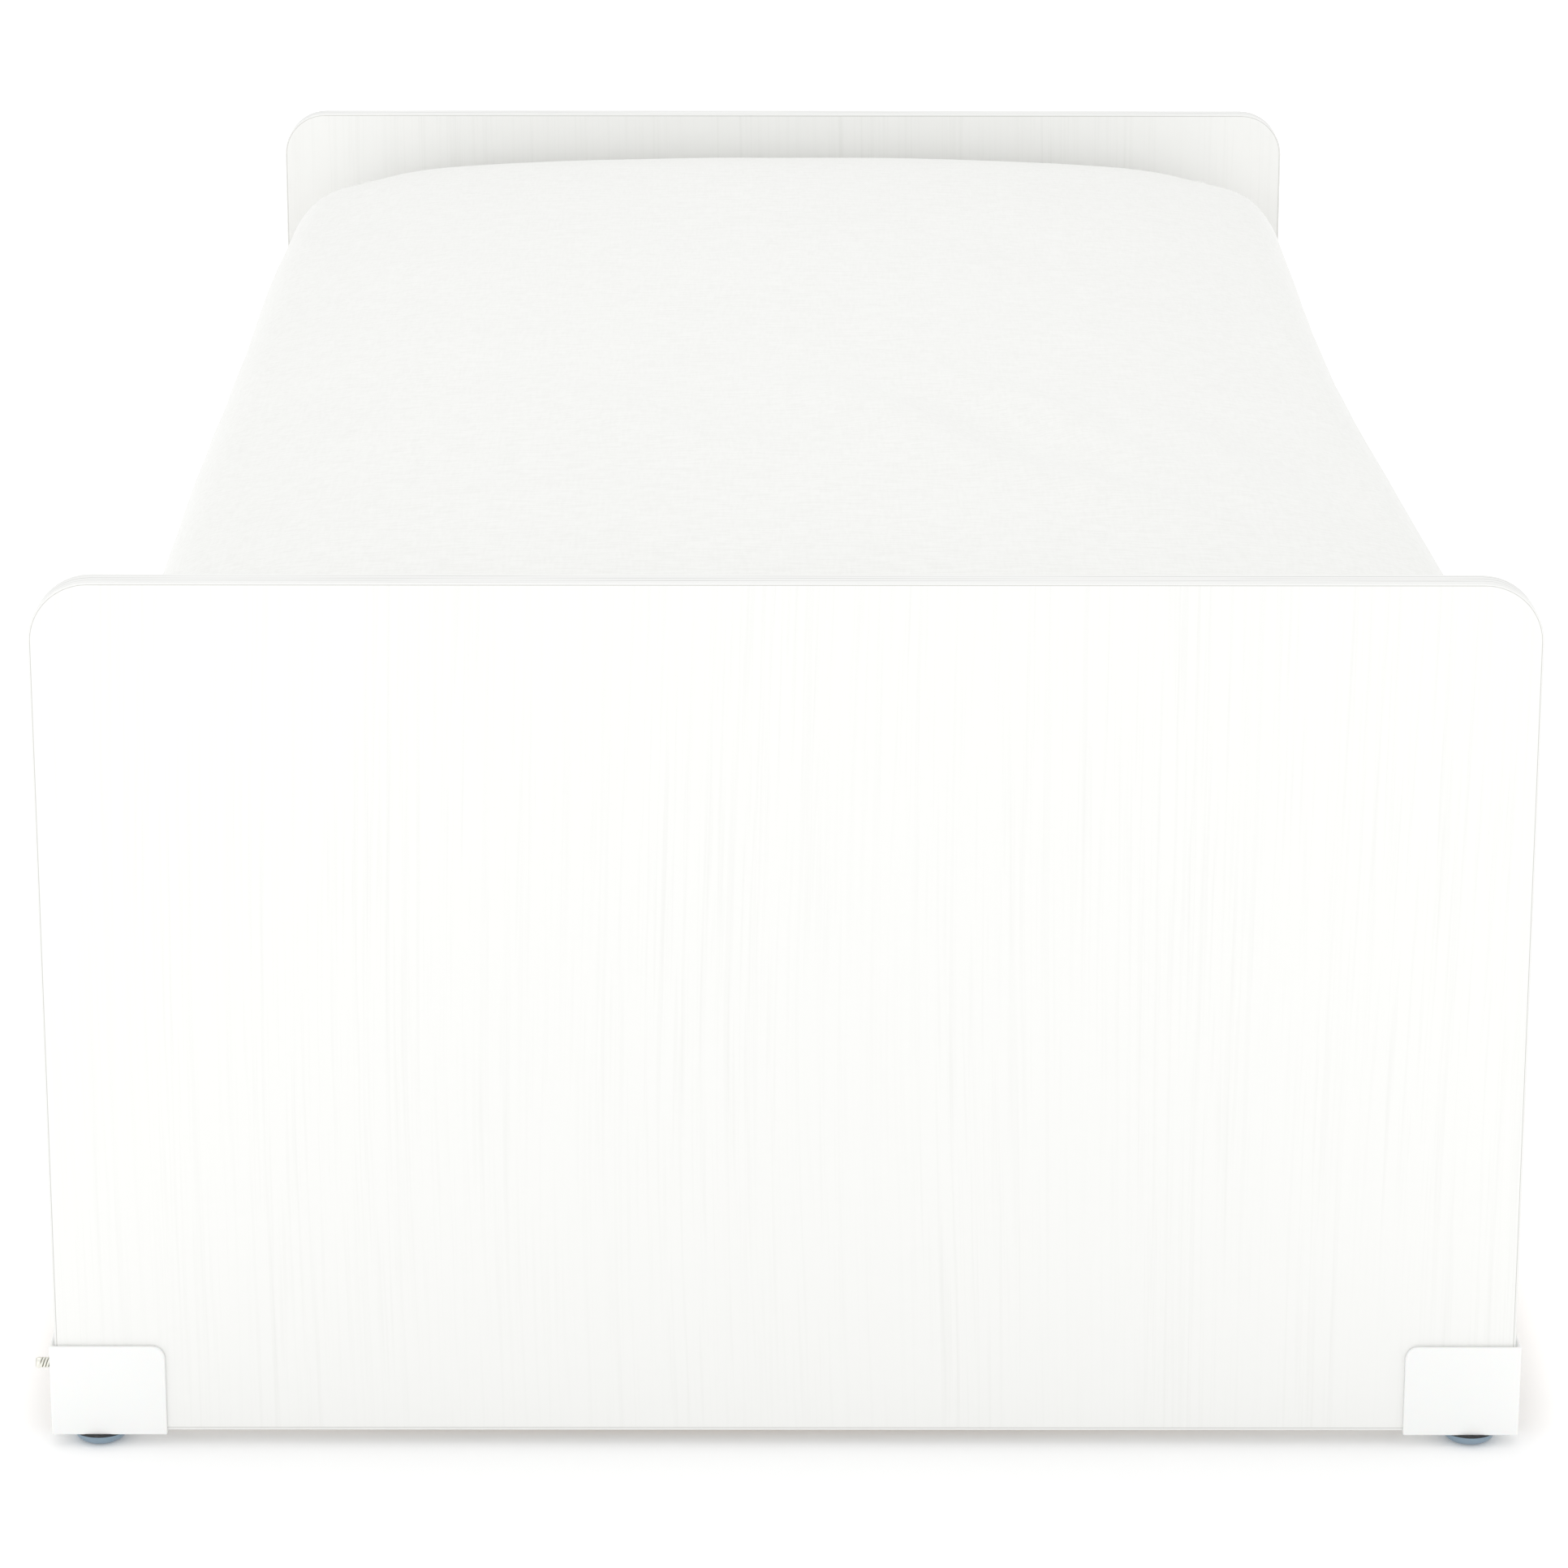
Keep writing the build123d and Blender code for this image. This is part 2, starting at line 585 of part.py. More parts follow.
def end_nodes(name, place, stud):
    """Every node of one end board. place puts a footboard piece at its own end; stud is cut out if given."""
    glide_blank, glide_done = with_screws([glide_screw()])[0]
    shoe_blank, shoe_done = with_screws([shoe_screw()])[0]
    pair = (lambda solid: solid, at_left)
    blanks = [side(blank) for side in pair for blank in (glide_blank, shoe_blank)]
    if stud:
        blanks.append(stud)
    nodes = {
        f"{name}board_panel": place(cut_by(foot_panel(), blanks)),
        f"{name}board_edge_band": place(cut_by(foot_edge_band(), blanks)),
        f"{name}board_bottom_band": place(cut_by(foot_bottom_band(), blanks)),
        f"{name}_glide_screws": place(group(side(glide_done) for side in pair)),
        f"{name}_shoe_screws": place(group(side(shoe_done) for side in pair)),
    }
    for label, side in (("right", pair[0]), ("left", pair[1])):
        nodes[f"{name}_{label}_corner_shoe"] = place(cut_by(side(foot_shoe()), blanks))
        nodes[f"{name}_{label}_glide_cup"] = place(side(glide_cup() - glide_blank))
        nodes[f"{name}_{label}_glide_pad"] = place(side(glide_pad() - glide_blank))
    return nodes


def rail_nodes():
    """Both side rails with their edging, ledgers, locating pins and fixings."""
    screws = with_screws(ledger_screws())
    blanks = [blank for blank, _ in screws]
    right = {
        "side_rail": cut_by(rail_core(), blanks),
        "rail_top_band": rail_band(RAIL_TOP - BAND_THICKNESS),
        "rail_bottom_band": rail_band(RAIL_BOTTOM),
        "slat_ledger": cut_by(ledger(), blanks),
        "ledger_screws": group(done for _, done in screws),
        "ledger_pins": group(ledger_pin(end) for end in (-1, 1)),
    }
    nodes = {f"right_{name}": solid for name, solid in right.items()}
    nodes.update({f"left_{name}": at_left(solid) for name, solid in right.items()})
    nodes["cam_locks"] = group(s for h in CAM_HEIGHTS for s in four_corners(foot_cam(h)))
    nodes["cam_bolts"] = group(s for h in CAM_HEIGHTS for s in four_corners(foot_bolt(h)))
    nodes["cam_cover_caps"] = group(s for h in CAM_HEIGHTS for s in four_corners(foot_cam_cap(h)))
    nodes["wooden_dowels"] = group(four_corners(foot_dowel()))
    return nodes


def base_nodes():
    """The slats, their two straps and the staples."""
    nodes = {}
    all_staples = []
    for number, y in enumerate(slat_positions(), start=1):
        staples = staples_at(y)
        all_staples += staples
        nodes[f"slat_{number:02d}"] = slat(y, staples, number in (1, SLAT_COUNT))
    nodes["slat_strap_left"] = strap(-STRAP_OFFSET, all_staples)
    nodes["slat_strap_right"] = strap(STRAP_OFFSET, all_staples)
    nodes["strap_staples"] = group(all_staples)
    return nodes


def main():
    stud = side_stud()
    nodes = {"side_stud": stud}
    nodes.update(end_nodes("foot", lambda solid: solid, stud))
    nodes.update(end_nodes("head", at_head, None))
    nodes.update(rail_nodes())
    nodes.update(base_nodes())
    nodes["mattress_core"] = mattress_core()
    nodes["mattress_cover"] = mattress_cover()
    nodes["fitted_sheet"] = fitted_sheet()
    os.makedirs("parts", exist_ok=True)
    for name, solid in nodes.items():
        export_step(solid, f"parts/{name}.step")
    print(len(nodes), "nodes")


main()
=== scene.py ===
"""Looks for the toddler bed: finishes, bedding, webbing, stud, studio. Metres, +Z up, foot end at -Y."""

import bpy
import math
from mathutils import Matrix, Vector, noise
from mathutils.bvhtree import BVHTree


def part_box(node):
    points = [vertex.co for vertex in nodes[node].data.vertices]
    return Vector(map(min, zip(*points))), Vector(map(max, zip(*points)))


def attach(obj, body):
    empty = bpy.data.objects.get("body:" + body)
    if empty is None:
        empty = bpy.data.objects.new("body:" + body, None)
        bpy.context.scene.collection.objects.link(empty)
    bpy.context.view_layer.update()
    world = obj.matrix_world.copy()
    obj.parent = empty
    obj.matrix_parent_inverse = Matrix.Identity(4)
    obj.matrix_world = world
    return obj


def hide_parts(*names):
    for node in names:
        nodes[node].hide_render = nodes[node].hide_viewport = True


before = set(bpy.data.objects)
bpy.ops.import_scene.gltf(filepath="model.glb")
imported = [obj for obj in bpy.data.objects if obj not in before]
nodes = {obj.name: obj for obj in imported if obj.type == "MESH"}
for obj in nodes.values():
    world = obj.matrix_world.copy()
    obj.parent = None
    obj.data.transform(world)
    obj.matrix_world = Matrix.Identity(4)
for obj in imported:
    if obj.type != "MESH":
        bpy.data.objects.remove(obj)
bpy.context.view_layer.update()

MM = 0.001
scene = bpy.context.scene

# ---- Places read from the frame --------------------------------------------------------------------

PANEL_LOW, PANEL_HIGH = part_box("footboard_panel")
SHEET_LOW, SHEET_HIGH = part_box("fitted_sheet")
STUD_LOW, STUD_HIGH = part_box("side_stud")
RAIL_LOW, RAIL_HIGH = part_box("right_side_rail")
RAIL_TOP = RAIL_HIGH.z
RAIL_MIDDLE = (RAIL_LOW.x + RAIL_HIGH.x) / 2
BOARD_MIDDLE = -(PANEL_LOW.y + PANEL_HIGH.y) / 2
SLATS = sorted((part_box(name) for name in nodes if name.startswith("slat_") and name[-1].isdigit()),
               key=lambda ends: ends[0].y)

# ---- Node materials --------------------------------------------------------------------------------


class Finish:
    """One material while it is wired up, with short ways to add its nodes."""

    def __init__(self, name, roughness):
        self.material = bpy.data.materials.new(name)
        self.material.use_nodes = True
        self.tree = self.material.node_tree
        self.shader = self.tree.nodes["Principled BSDF"]
        self.put(self.shader.inputs["Roughness"], roughness)
        self.place = self.add("ShaderNodeTexCoord").outputs["Object"]

    def put(self, socket, value):
        """Sets a socket to a number or colour, or links another node's output to it."""
        if isinstance(value, bpy.types.NodeSocket):
            self.tree.links.new(value, socket)
        else:
            socket.default_value = value

    def add(self, kind, inputs=(), **settings):
        """Adds a node with its settings, and fills its inputs, which are given by name or number."""
        node = self.tree.nodes.new(kind)
        for key, value in settings.items():
            setattr(node, key, value)
        for key, value in dict(inputs).items():
            self.put(node.inputs[key], value)
        return node

    def set(self, **values):
        """Fills the shader's own sockets; a name's underscores stand for spaces."""
        for key, value in values.items():
            self.put(self.shader.inputs[key.replace("_", " ")], value)

    def calc(self, operation, first, second=0.0):
        inputs = {0: first, 1: second}
        return self.add("ShaderNodeMath", inputs, operation=operation).outputs[0]

    def total(self, *terms):
        result = terms[0]
        for term in terms[1:]:
            result = self.calc("ADD", result, term)
        return result

    def scaled(self, vector, factors):
        """The vector with each of its parts multiplied."""
        inputs = {0: vector, 1: factors}
        return self.add("ShaderNodeVectorMath", inputs, operation="MULTIPLY").outputs[0]

    def parts(self, vector):
        return self.add("ShaderNodeSeparateXYZ", {0: vector}).outputs

    def joined(self, x, y, z):
        return self.add("ShaderNodeCombineXYZ", {0: x, 1: y, 2: z}).outputs[0]

    def noise(self, vector, scale=1.0, detail=2.0, roughness=0.5):
        inputs = {"Vector": vector, "Scale": scale, "Detail": detail, "Roughness": roughness}
        return self.add("ShaderNodeTexNoise", inputs).outputs["Fac"]

    def step(self, value, low, high, start=0.0, end=1.0):
        """A smooth change from start, at low, to end, at high."""
        inputs = {"Value": value, "From Min": low, "From Max": high, "To Min": start, "To Max": end}
        return self.add("ShaderNodeMapRange", inputs, interpolation_type="SMOOTHSTEP").outputs[0]

    def blend(self, factor, first, second):
        """A colour between two colours."""
        node = self.add("ShaderNodeMix", {0: factor}, data_type="RGBA")
        self.put(node.inputs[6], first)
        self.put(node.inputs[7], second)
        return node.outputs[2]

    def bump(self, height, strength, distance):
        inputs = {"Height": height, "Strength": strength, "Distance": distance}
        self.put(self.shader.inputs["Normal"], self.add("ShaderNodeBump", inputs).outputs[0])


def colour(red, green, blue):
    return (red, green, blue, 1.0)


def turned_to(finish, along):
    """The place as (across, along, depth), for grain that runs along that axis."""
    x, y, z = finish.parts(finish.place)
    order = {"x": (y, x, z), "y": (z, y, x), "z": (x, z, y)}[along]
    return finish.joined(*order)


# ---- White laminate and edging ---------------------------------------------------------------------

LAMINATE_LIGHT = colour(0.880, 0.882, 0.865)
LAMINATE_DARK = colour(0.745, 0.750, 0.725)
EDGING_LIGHT = colour(0.835, 0.838, 0.822)
EDGING_DARK = colour(0.56, 0.565, 0.55)
EDGING_LINE_PITCH = 4.3 * MM
EDGING_LINE_WANDER = 5.0
EDGING_RIM_INNER = 7.4 * MM
EDGING_RIM_OUTER = 8.4 * MM
EDGING_CONTRAST = 0.75
GRAIN_WANDER = 0.036
PANEL_CORNER = 29 * MM
JOINT_WIDTH = 0.55 * MM


def wavy(finish, place):
    """Bends the grain's coordinates slowly, so that its lines wander and open into long arches."""
    drift = finish.noise(finish.scaled(place, (3.2, 1.3, 1.0)), detail=1.0)
    push = finish.calc("MULTIPLY", drift, GRAIN_WANDER)
    return finish.add("ShaderNodeVectorMath", {0: place, 1: finish.joined(push, 0.0, 0.0)}).outputs[0]


def grain_amount(finish, place):
    """How dark the printed grain is: fine broken lines in clusters, over soft broad bands."""
    bent = wavy(finish, place)
    lines = finish.noise(finish.scaled(bent, (520, 8, 40)), detail=2.0)
    lines = finish.step(lines, 0.50, 0.70)
    long_lines = finish.noise(finish.scaled(bent, (270, 2.2, 30)), detail=3.0, roughness=0.65)
    long_lines = finish.step(long_lines, 0.52, 0.66)
    clusters = finish.noise(finish.scaled(bent, (30, 2.2, 3)), detail=2.0)
    clusters = finish.step(clusters, 0.36, 0.64, 0.35, 1.0)
    bands = finish.noise(finish.scaled(bent, (95, 1.3, 3)), detail=2.0)
    fine = finish.calc("MULTIPLY", finish.total(lines, long_lines), clusters)
    return finish.total(finish.calc("MULTIPLY", fine, 0.50), finish.calc("MULTIPLY", bands, 0.12))


def pores(finish, place):
    """A few short dark pits in the print, far apart."""
    stretched = finish.scaled(place, (13, 3.4, 1))
    cells = finish.add("ShaderNodeTexVoronoi", {"Vector": stretched, "Scale": 1.0})
    near = finish.step(cells.outputs["Distance"], 0.006, 0.014, 1.0, 0.0)
    chosen = finish.step(finish.parts(cells.outputs["Color"])[0], 0.78, 0.80)
    return finish.calc("MULTIPLY", near, chosen)


def distance_to_panel_edge(finish):
    """How far a point lies from the panel's rounded outline in metres, negative inside it."""
    x, _, z = finish.parts(finish.place)
    half_width = PANEL_HIGH.x - PANEL_CORNER
    half_height = (PANEL_HIGH.z - PANEL_LOW.z) / 2 - PANEL_CORNER
    middle = (PANEL_HIGH.z + PANEL_LOW.z) / 2
    across = finish.calc("SUBTRACT", finish.calc("ABSOLUTE", x), half_width)
    from_middle = finish.calc("ABSOLUTE", finish.calc("SUBTRACT", z, middle))
    up = finish.calc("SUBTRACT", from_middle, half_height)
    past_across = finish.calc("MAXIMUM", across, 0.0)
    past_up = finish.calc("MAXIMUM", up, 0.0)
    squares = finish.total(finish.calc("POWER", past_across, 2.0), finish.calc("POWER", past_up, 2.0))
    outside = finish.calc("SQRT", squares)
    inside = finish.calc("MINIMUM", finish.calc("MAXIMUM", across, up), 0.0)
    return finish.calc("SUBTRACT", finish.total(outside, inside), PANEL_CORNER)


def laminate(name, along, contrast, with_joint=False):
    """White melamine with a printed and embossed grain, and the hairline where it meets its edging."""
    finish = Finish(name, 0.5)
    place = turned_to(finish, along)
    grain = grain_amount(finish, place)
    shade = finish.blend(finish.calc("MULTIPLY", grain, contrast), LAMINATE_LIGHT, LAMINATE_DARK)
    shade = finish.blend(pores(finish, place), shade, colour(0.36, 0.33, 0.28))
    if with_joint:
        joint = finish.step(distance_to_panel_edge(finish), -JOINT_WIDTH, -0.3 * JOINT_WIDTH, 0.0, 0.62)
        shade = finish.blend(joint, shade, colour(0.42, 0.41, 0.38))
    finish.set(Base_Color=shade, Roughness=finish.step(grain, 0.0, 0.8, 0.44, 0.56))
    finish.set(Specular_IOR_Level=0.35)
    finish.bump(grain, 0.35, -0.06 * MM)
    return finish.material


def edging(name, along, middle):
    """ABS edging: a few fine lines along the band, which is centred at ±middle, between plain rims."""
    finish = Finish(name, 0.42)
    x, y, z = finish.parts(finish.place)
    thickness, run, other = {"x": (y, x, z), "y": (x, y, z)}[along]
    place = finish.joined(thickness, run, other)
    offset = finish.calc("SUBTRACT", finish.calc("ABSOLUTE", thickness), middle)
    wander = finish.noise(finish.scaled(place, (60, 2.5, 2.5)), detail=2.0)
    turn = finish.total(finish.calc("MULTIPLY", offset, math.tau / EDGING_LINE_PITCH),
                        finish.calc("MULTIPLY", wander, EDGING_LINE_WANDER))
    lines = finish.step(finish.calc("SINE", turn), 0.1, 0.95)
    patches = finish.noise(finish.scaled(place, (300, 9, 9)), detail=2.0)
    strength = finish.step(patches, 0.35, 0.65, 0.3, 1.0)
    inside = finish.step(finish.calc("ABSOLUTE", offset), EDGING_RIM_INNER, EDGING_RIM_OUTER, 1.0, 0.0)
    specks = finish.noise(finish.scaled(place, (1100, 14, 14)), detail=2.0)
    ticks = finish.step(specks, 0.55, 0.75, 0.0, 0.25)
    drawn = finish.total(finish.calc("MULTIPLY", lines, strength), ticks)
    grain = finish.calc("MULTIPLY", drawn, inside)
    darkness = finish.calc("MULTIPLY", grain, EDGING_CONTRAST)
    finish.set(Base_Color=finish.blend(darkness, EDGING_LIGHT, EDGING_DARK))
    finish.set(Roughness=finish.step(grain, 0.0, 0.8, 0.36, 0.5))
    finish.bump(grain, 0.3, -0.05 * MM)
    return finish.material


# ---- Plastics --------------------------------------------------------------------------------------


def shoe_plastic(name):
    """White polypropylene with a fine spark-eroded skin."""
    finish = Finish(name, 0.42)
    spark = finish.noise(finish.place, 1900, 3.0, 0.6)
    cloud = finish.noise(finish.place, 38, 2.0)
    shade = finish.blend(cloud, colour(0.895, 0.902, 0.892), colour(0.910, 0.918, 0.908))
    finish.set(Base_Color=shade, Roughness=finish.step(spark, 0.3, 0.7, 0.36, 0.50))
    finish.set(Subsurface_Weight=0.06, Subsurface_Scale=1.5 * MM)
    finish.bump(spark, 0.25, 0.05 * MM)
    return finish.material


def glide_plastic(name):
    """Waxy blue-grey polymer, scuffed by the floor round its lower edge."""
    finish = Finish(name, 0.34)
    height = finish.parts(finish.place)[2]
    cloud = finish.noise(finish.place, 160, 3.0)
    scratches = finish.noise(finish.scaled(finish.place, (900, 120, 900)), detail=2.0)
    scuff = finish.calc("MULTIPLY", finish.step(height, 0.3 * MM, 2.0 * MM, 1.0, 0.0),
                        finish.step(scratches, 0.45, 0.65))
    shade = finish.blend(cloud, colour(0.20, 0.285, 0.36), colour(0.26, 0.345, 0.42))
    shade = finish.blend(finish.calc("MULTIPLY", scuff, 0.35), shade, colour(0.46, 0.51, 0.55))
    finish.set(Base_Color=shade, Roughness=finish.step(scuff, 0.0, 1.0, 0.3, 0.55))
    finish.set(Subsurface_Weight=0.08, Subsurface_Scale=1.0 * MM, Coat_Weight=0.15)
    finish.bump(scratches, 0.2, 0.05 * MM)
    return finish.material


def seat_rubber(name):
    """The glide's near-black seat, with dust in its pores."""
    finish = Finish(name, 0.6)
    grain = finish.noise(finish.place, 1400, 3.0, 0.6)
    dust = finish.step(finish.noise(finish.place, 300, 3.0), 0.50, 0.75, 0.0, 0.35)
    finish.set(Base_Color=finish.blend(dust, colour(0.018, 0.020, 0.023), colour(0.09, 0.09, 0.09)))
    finish.set(Roughness=finish.step(grain, 0.3, 0.7, 0.5, 0.7))
    finish.bump(grain, 0.3, 0.06 * MM)
    return finish.material


# ---- Metals ----------------------------------------------------------------------------------------

THREAD_ROOT = 2.2 * MM
# How far out from the thread's root the painted groove shade reaches.
THREAD_SHADE_DEPTH = 0.35 * MM


def metal(name, light, dark, rough):
    """A plated or cast metal with cloudy tarnish and fine turning marks."""
    finish = Finish(name, rough)
    cloud = finish.step(finish.noise(finish.place, 260, 3.0), 0.35, 0.7)
    marks = finish.noise(finish.scaled(finish.place, (3200, 500, 500)), detail=2.0)
    finish.set(Base_Color=finish.blend(cloud, light, dark), Metallic=1.0)
    finish.set(Roughness=finish.step(marks, 0.3, 0.7, rough - 0.08, rough + 0.1))
    finish.bump(marks, 0.15, 0.03 * MM)
    return finish.material


def yellow_zinc(name):
    """Yellow zinc plating: cream with pink and green hints, and painted shade down in the thread."""
    finish = Finish(name, 0.38)
    cloud = finish.noise(finish.place, 420, 2.0)
    tint = finish.blend(cloud, colour(0.86, 0.84, 0.74), colour(0.84, 0.85, 0.81))
    _, y, z = finish.parts(finish.place)
    middle = (STUD_LOW + STUD_HIGH) / 2
    aside = finish.calc("POWER", finish.calc("SUBTRACT", y, middle.y), 2.0)
    above = finish.calc("POWER", finish.calc("SUBTRACT", z, middle.z), 2.0)
    radius = finish.calc("SQRT", finish.total(aside, above))
    # Painted shade: near the thread's root the colour darkens to near-black, standing in for the shade
    # in the grooves; the roughness rises there too.
    thread_shade = finish.step(radius, THREAD_ROOT, THREAD_ROOT + THREAD_SHADE_DEPTH, 0.85, 0.0)
    shade = finish.blend(thread_shade, tint, colour(0.12, 0.11, 0.085))
    finish.set(Base_Color=shade, Metallic=0.45, Roughness=finish.step(thread_shade, 0.0, 0.85, 0.34, 0.7))
    finish.bump(cloud, 0.15, 0.05 * MM)
    return finish.material


# ---- Wood ------------------------------------------------------------------------------------------


def timber(name, along, light, dark, knots):
    """Planed softwood or hardwood: growth bands, fibres and, where wanted, knots."""
    finish = Finish(name, 0.55)
    place = turned_to(finish, along)
    centred = finish.add("ShaderNodeVectorMath", {0: place, 1: (0.013, 0.0, 0.21)}).outputs[0]
    drift = finish.noise(finish.scaled(place, (6, 1.6, 6)), detail=2.0)
    push = finish.calc("MULTIPLY", drift, 0.045)
    shift = finish.joined(push, 0.0, push)
    bent = finish.add("ShaderNodeVectorMath", {0: centred, 1: shift}).outputs[0]
    rings = finish.noise(finish.scaled(bent, (150, 1.2, 90)), detail=2.0)
    rings = finish.step(rings, 0.38, 0.66)
    fibres = finish.noise(finish.scaled(place, (1500, 22, 1500)), detail=2.0)
    shade = finish.blend(rings, light, dark)
    shade = finish.blend(finish.step(fibres, 0.5, 0.8, 0.0, 0.35), shade, dark)
    stretched = finish.scaled(place, (8, 4.2, 5))
    cells = finish.add("ShaderNodeTexVoronoi", {"Vector": stretched, "Scale": 1.0})
    knot = finish.step(cells.outputs["Distance"], 0.04, 0.11, knots, 0.0)
    chosen = finish.step(finish.parts(cells.outputs["Color"])[1], 0.70, 0.72)
    shade = finish.blend(finish.calc("MULTIPLY", knot, chosen), shade, colour(0.30, 0.15, 0.06))
    finish.set(Base_Color=shade, Roughness=finish.step(fibres, 0.3, 0.7, 0.48, 0.66))
    finish.bump(finish.total(fibres, finish.calc("MULTIPLY", rings, 0.4)), 0.35, 0.08 * MM)
    return finish.material


# ---- Cloth and foam --------------------------------------------------------------------------------


def threads(finish, pitch):
    """A plain weave's height: warp over weft in turn, with uneven threads."""
    x, y, z = finish.parts(finish.place)
    wobble = finish.noise(finish.place, 90, 2.0)
    sway = finish.calc("MULTIPLY", wobble, 2.5)
    turn = math.tau / pitch
    warp = finish.calc("SINE", finish.total(finish.calc("MULTIPLY", x, turn), sway))
    lengthwise = finish.total(y, z)
    weft = finish.calc("SINE", finish.total(finish.calc("MULTIPLY", lengthwise, turn), sway))
    return finish.calc("MULTIPLY", warp, weft)


def cotton(name):
    """White cotton percale: slubs run mostly across the bed, over a fine weave, with a soft sheen."""
    finish = Finish(name, 0.82)
    weft = finish.noise(finish.scaled(finish.place, (75, 620, 620)), detail=3.0, roughness=0.6)
    warp = finish.noise(finish.scaled(finish.place, (620, 60, 620)), detail=2.0)
    slubs = finish.total(finish.calc("MULTIPLY", weft, 0.7), finish.calc("MULTIPLY", warp, 0.3))
    cloud = finish.noise(finish.place, 7, 2.0)
    light = finish.blend(cloud, colour(0.830, 0.834, 0.814), colour(0.849, 0.853, 0.833))
    shade = finish.blend(finish.step(slubs, 0.38, 0.66, 0.0, 0.45), light, colour(0.745, 0.745, 0.722))
    weave = finish.calc("MULTIPLY", threads(finish, 0.55 * MM), 0.12)
    finish.set(Base_Color=shade, Roughness=finish.step(slubs, 0.35, 0.65, 0.76, 0.9))
    finish.set(Sheen_Weight=0.25, Sheen_Roughness=0.5, Specular_IOR_Level=0.2)
    finish.bump(finish.total(slubs, weave), 0.5, 0.18 * MM)
    return finish.material


def elastic(name):
    """The hem's gathered casing over its elastic: crimped ridges across the run, with painted shade in
    the hollows between them.
    """
    finish = Finish(name, 0.85)
    crimp = finish.noise(finish.place, 330, 2.0)
    # Painted shade: the colour darkens where the crimp sinks, between the ridges.
    shade = finish.blend(crimp, colour(0.70, 0.70, 0.675), colour(0.86, 0.86, 0.84))
    finish.set(Base_Color=shade, Sheen_Weight=0.2)
    finish.bump(crimp, 0.5, 0.5 * MM)
    return finish.material


def quilting(name):
    """Knitted polyester ticking, faintly grey, with a looped texture."""
    finish = Finish(name, 0.88)
    loops = threads(finish, 1.4 * MM)
    fluff = finish.noise(finish.place, 480, 3.0, 0.6)
    shade = finish.blend(fluff, colour(0.74, 0.75, 0.745), colour(0.84, 0.845, 0.84))
    finish.set(Base_Color=shade, Sheen_Weight=0.3, Sheen_Roughness=0.5)
    finish.bump(finish.total(fluff, finish.calc("MULTIPLY", loops, 0.3)), 0.5, 0.3 * MM)
    return finish.material


def foam_finish(name):
    """Cream polyurethane foam with open cells, painted darker down in each cell as shade."""
    finish = Finish(name, 0.95)
    cells = finish.add("ShaderNodeTexVoronoi", {"Vector": finish.place, "Scale": 700.0})
    # Painted shade: the colour darkens towards the bottom of each cell.
    depth = finish.step(cells.outputs["Distance"], 0.05, 0.6)
    shade = finish.blend(depth, colour(0.55, 0.50, 0.36), colour(0.80, 0.77, 0.62))
    finish.set(Base_Color=shade)
    finish.bump(depth, 0.6, 0.5 * MM)
    return finish.material


def webbing(name):
    """White polypropylene webbing: ribs along the strap crossed by picks, with painted shade where the
    weave sinks.
    """
    finish = Finish(name, 0.6)
    x, y, _ = finish.parts(finish.place)
    ribs = finish.calc("SINE", finish.calc("MULTIPLY", x, math.tau / (1.6 * MM)))
    picks = finish.calc("SINE", finish.calc("MULTIPLY", y, math.tau / (1.9 * MM)))
    weave = finish.calc("MULTIPLY", ribs, picks)
    fuzz = finish.noise(finish.place, 900, 2.0)
    # Painted shade: the colour darkens where the weave lies low, between its raised threads.
    raised = finish.step(weave, -0.9, 0.5)
    shade = finish.blend(raised, colour(0.60, 0.60, 0.58), colour(0.83, 0.83, 0.81))
    finish.set(Base_Color=shade, Roughness=finish.step(fuzz, 0.3, 0.7, 0.5, 0.7), Sheen_Weight=0.15)
    finish.bump(finish.total(weave, fuzz), 0.5, 0.2 * MM)
    return finish.material


# ---- Mesh helpers ----------------------------------------------------------------------------------


def add_piece(name, points, faces, material):
    """A smooth-shaded mesh object from points and faces."""
    mesh = bpy.data.meshes.new(name)
    mesh.from_pydata([tuple(p) for p in points], [], faces)
    mesh.polygons.foreach_set("use_smooth", [True] * len(mesh.polygons))
    mesh.materials.append(material)
    piece = bpy.data.objects.new(name, mesh)
    scene.collection.objects.link(piece)
    return piece


def set_points(piece, points):
    piece.data.vertices.foreach_set("co", [value for p in points for value in p])
    piece.data.update()


def apply_modifiers(piece):
    """Makes the piece's modifiers part of its mesh."""
    graph = bpy.context.evaluated_depsgraph_get()
    mesh = bpy.data.meshes.new_from_object(piece.evaluated_get(graph))
    piece.modifiers.clear()
    piece.data = mesh


def smoothstep(value, low, high):
    share = min(1.0, max(0.0, (value - low) / (high - low)))
    return share * share * (3 - 2 * share)


def wrinkle_noise(x, y, z, seed):
    return noise.noise(Vector((x, y, z)) + Vector((seed, 1.7 * seed, 0.3 * seed)))


def tube(name, path, radii, material, closed=False, sides=12):
    """A tube round a path of points, with a (wide, tall) radius for each; its section stays upright."""
    points, faces = [], []
    count = len(path)
    for i, point in enumerate(path):
        before = path[(i - 1) % count] if closed else path[max(i - 1, 0)]
        after = path[(i + 1) % count] if closed else path[min(i + 1, count - 1)]
        run = (after - before).normalized()
        upright = Vector((0, 0, 1)) if abs(run.z) < 0.9 else Vector((run.y, -run.x, 0)).normalized()
        aside = run.cross(upright).normalized()
        up = aside.cross(run).normalized()
        wide, tall = radii[i]
        for k in range(sides):
            turn = math.tau * k / sides
            points.append(point + aside * wide * math.cos(turn) + up * tall * math.sin(turn))
    rings = count if closed else count - 1
    for i in range(rings):
        a, b = i * sides, ((i + 1) % count) * sides
        faces += [(a + k, a + (k + 1) % sides, b + (k + 1) % sides, b + k) for k in range(sides)]
    if not closed:
        faces.append(tuple(reversed(range(sides))))
        faces.append(tuple((count - 1) * sides + k for k in range(sides)))
    return add_piece(name, points, faces, material)


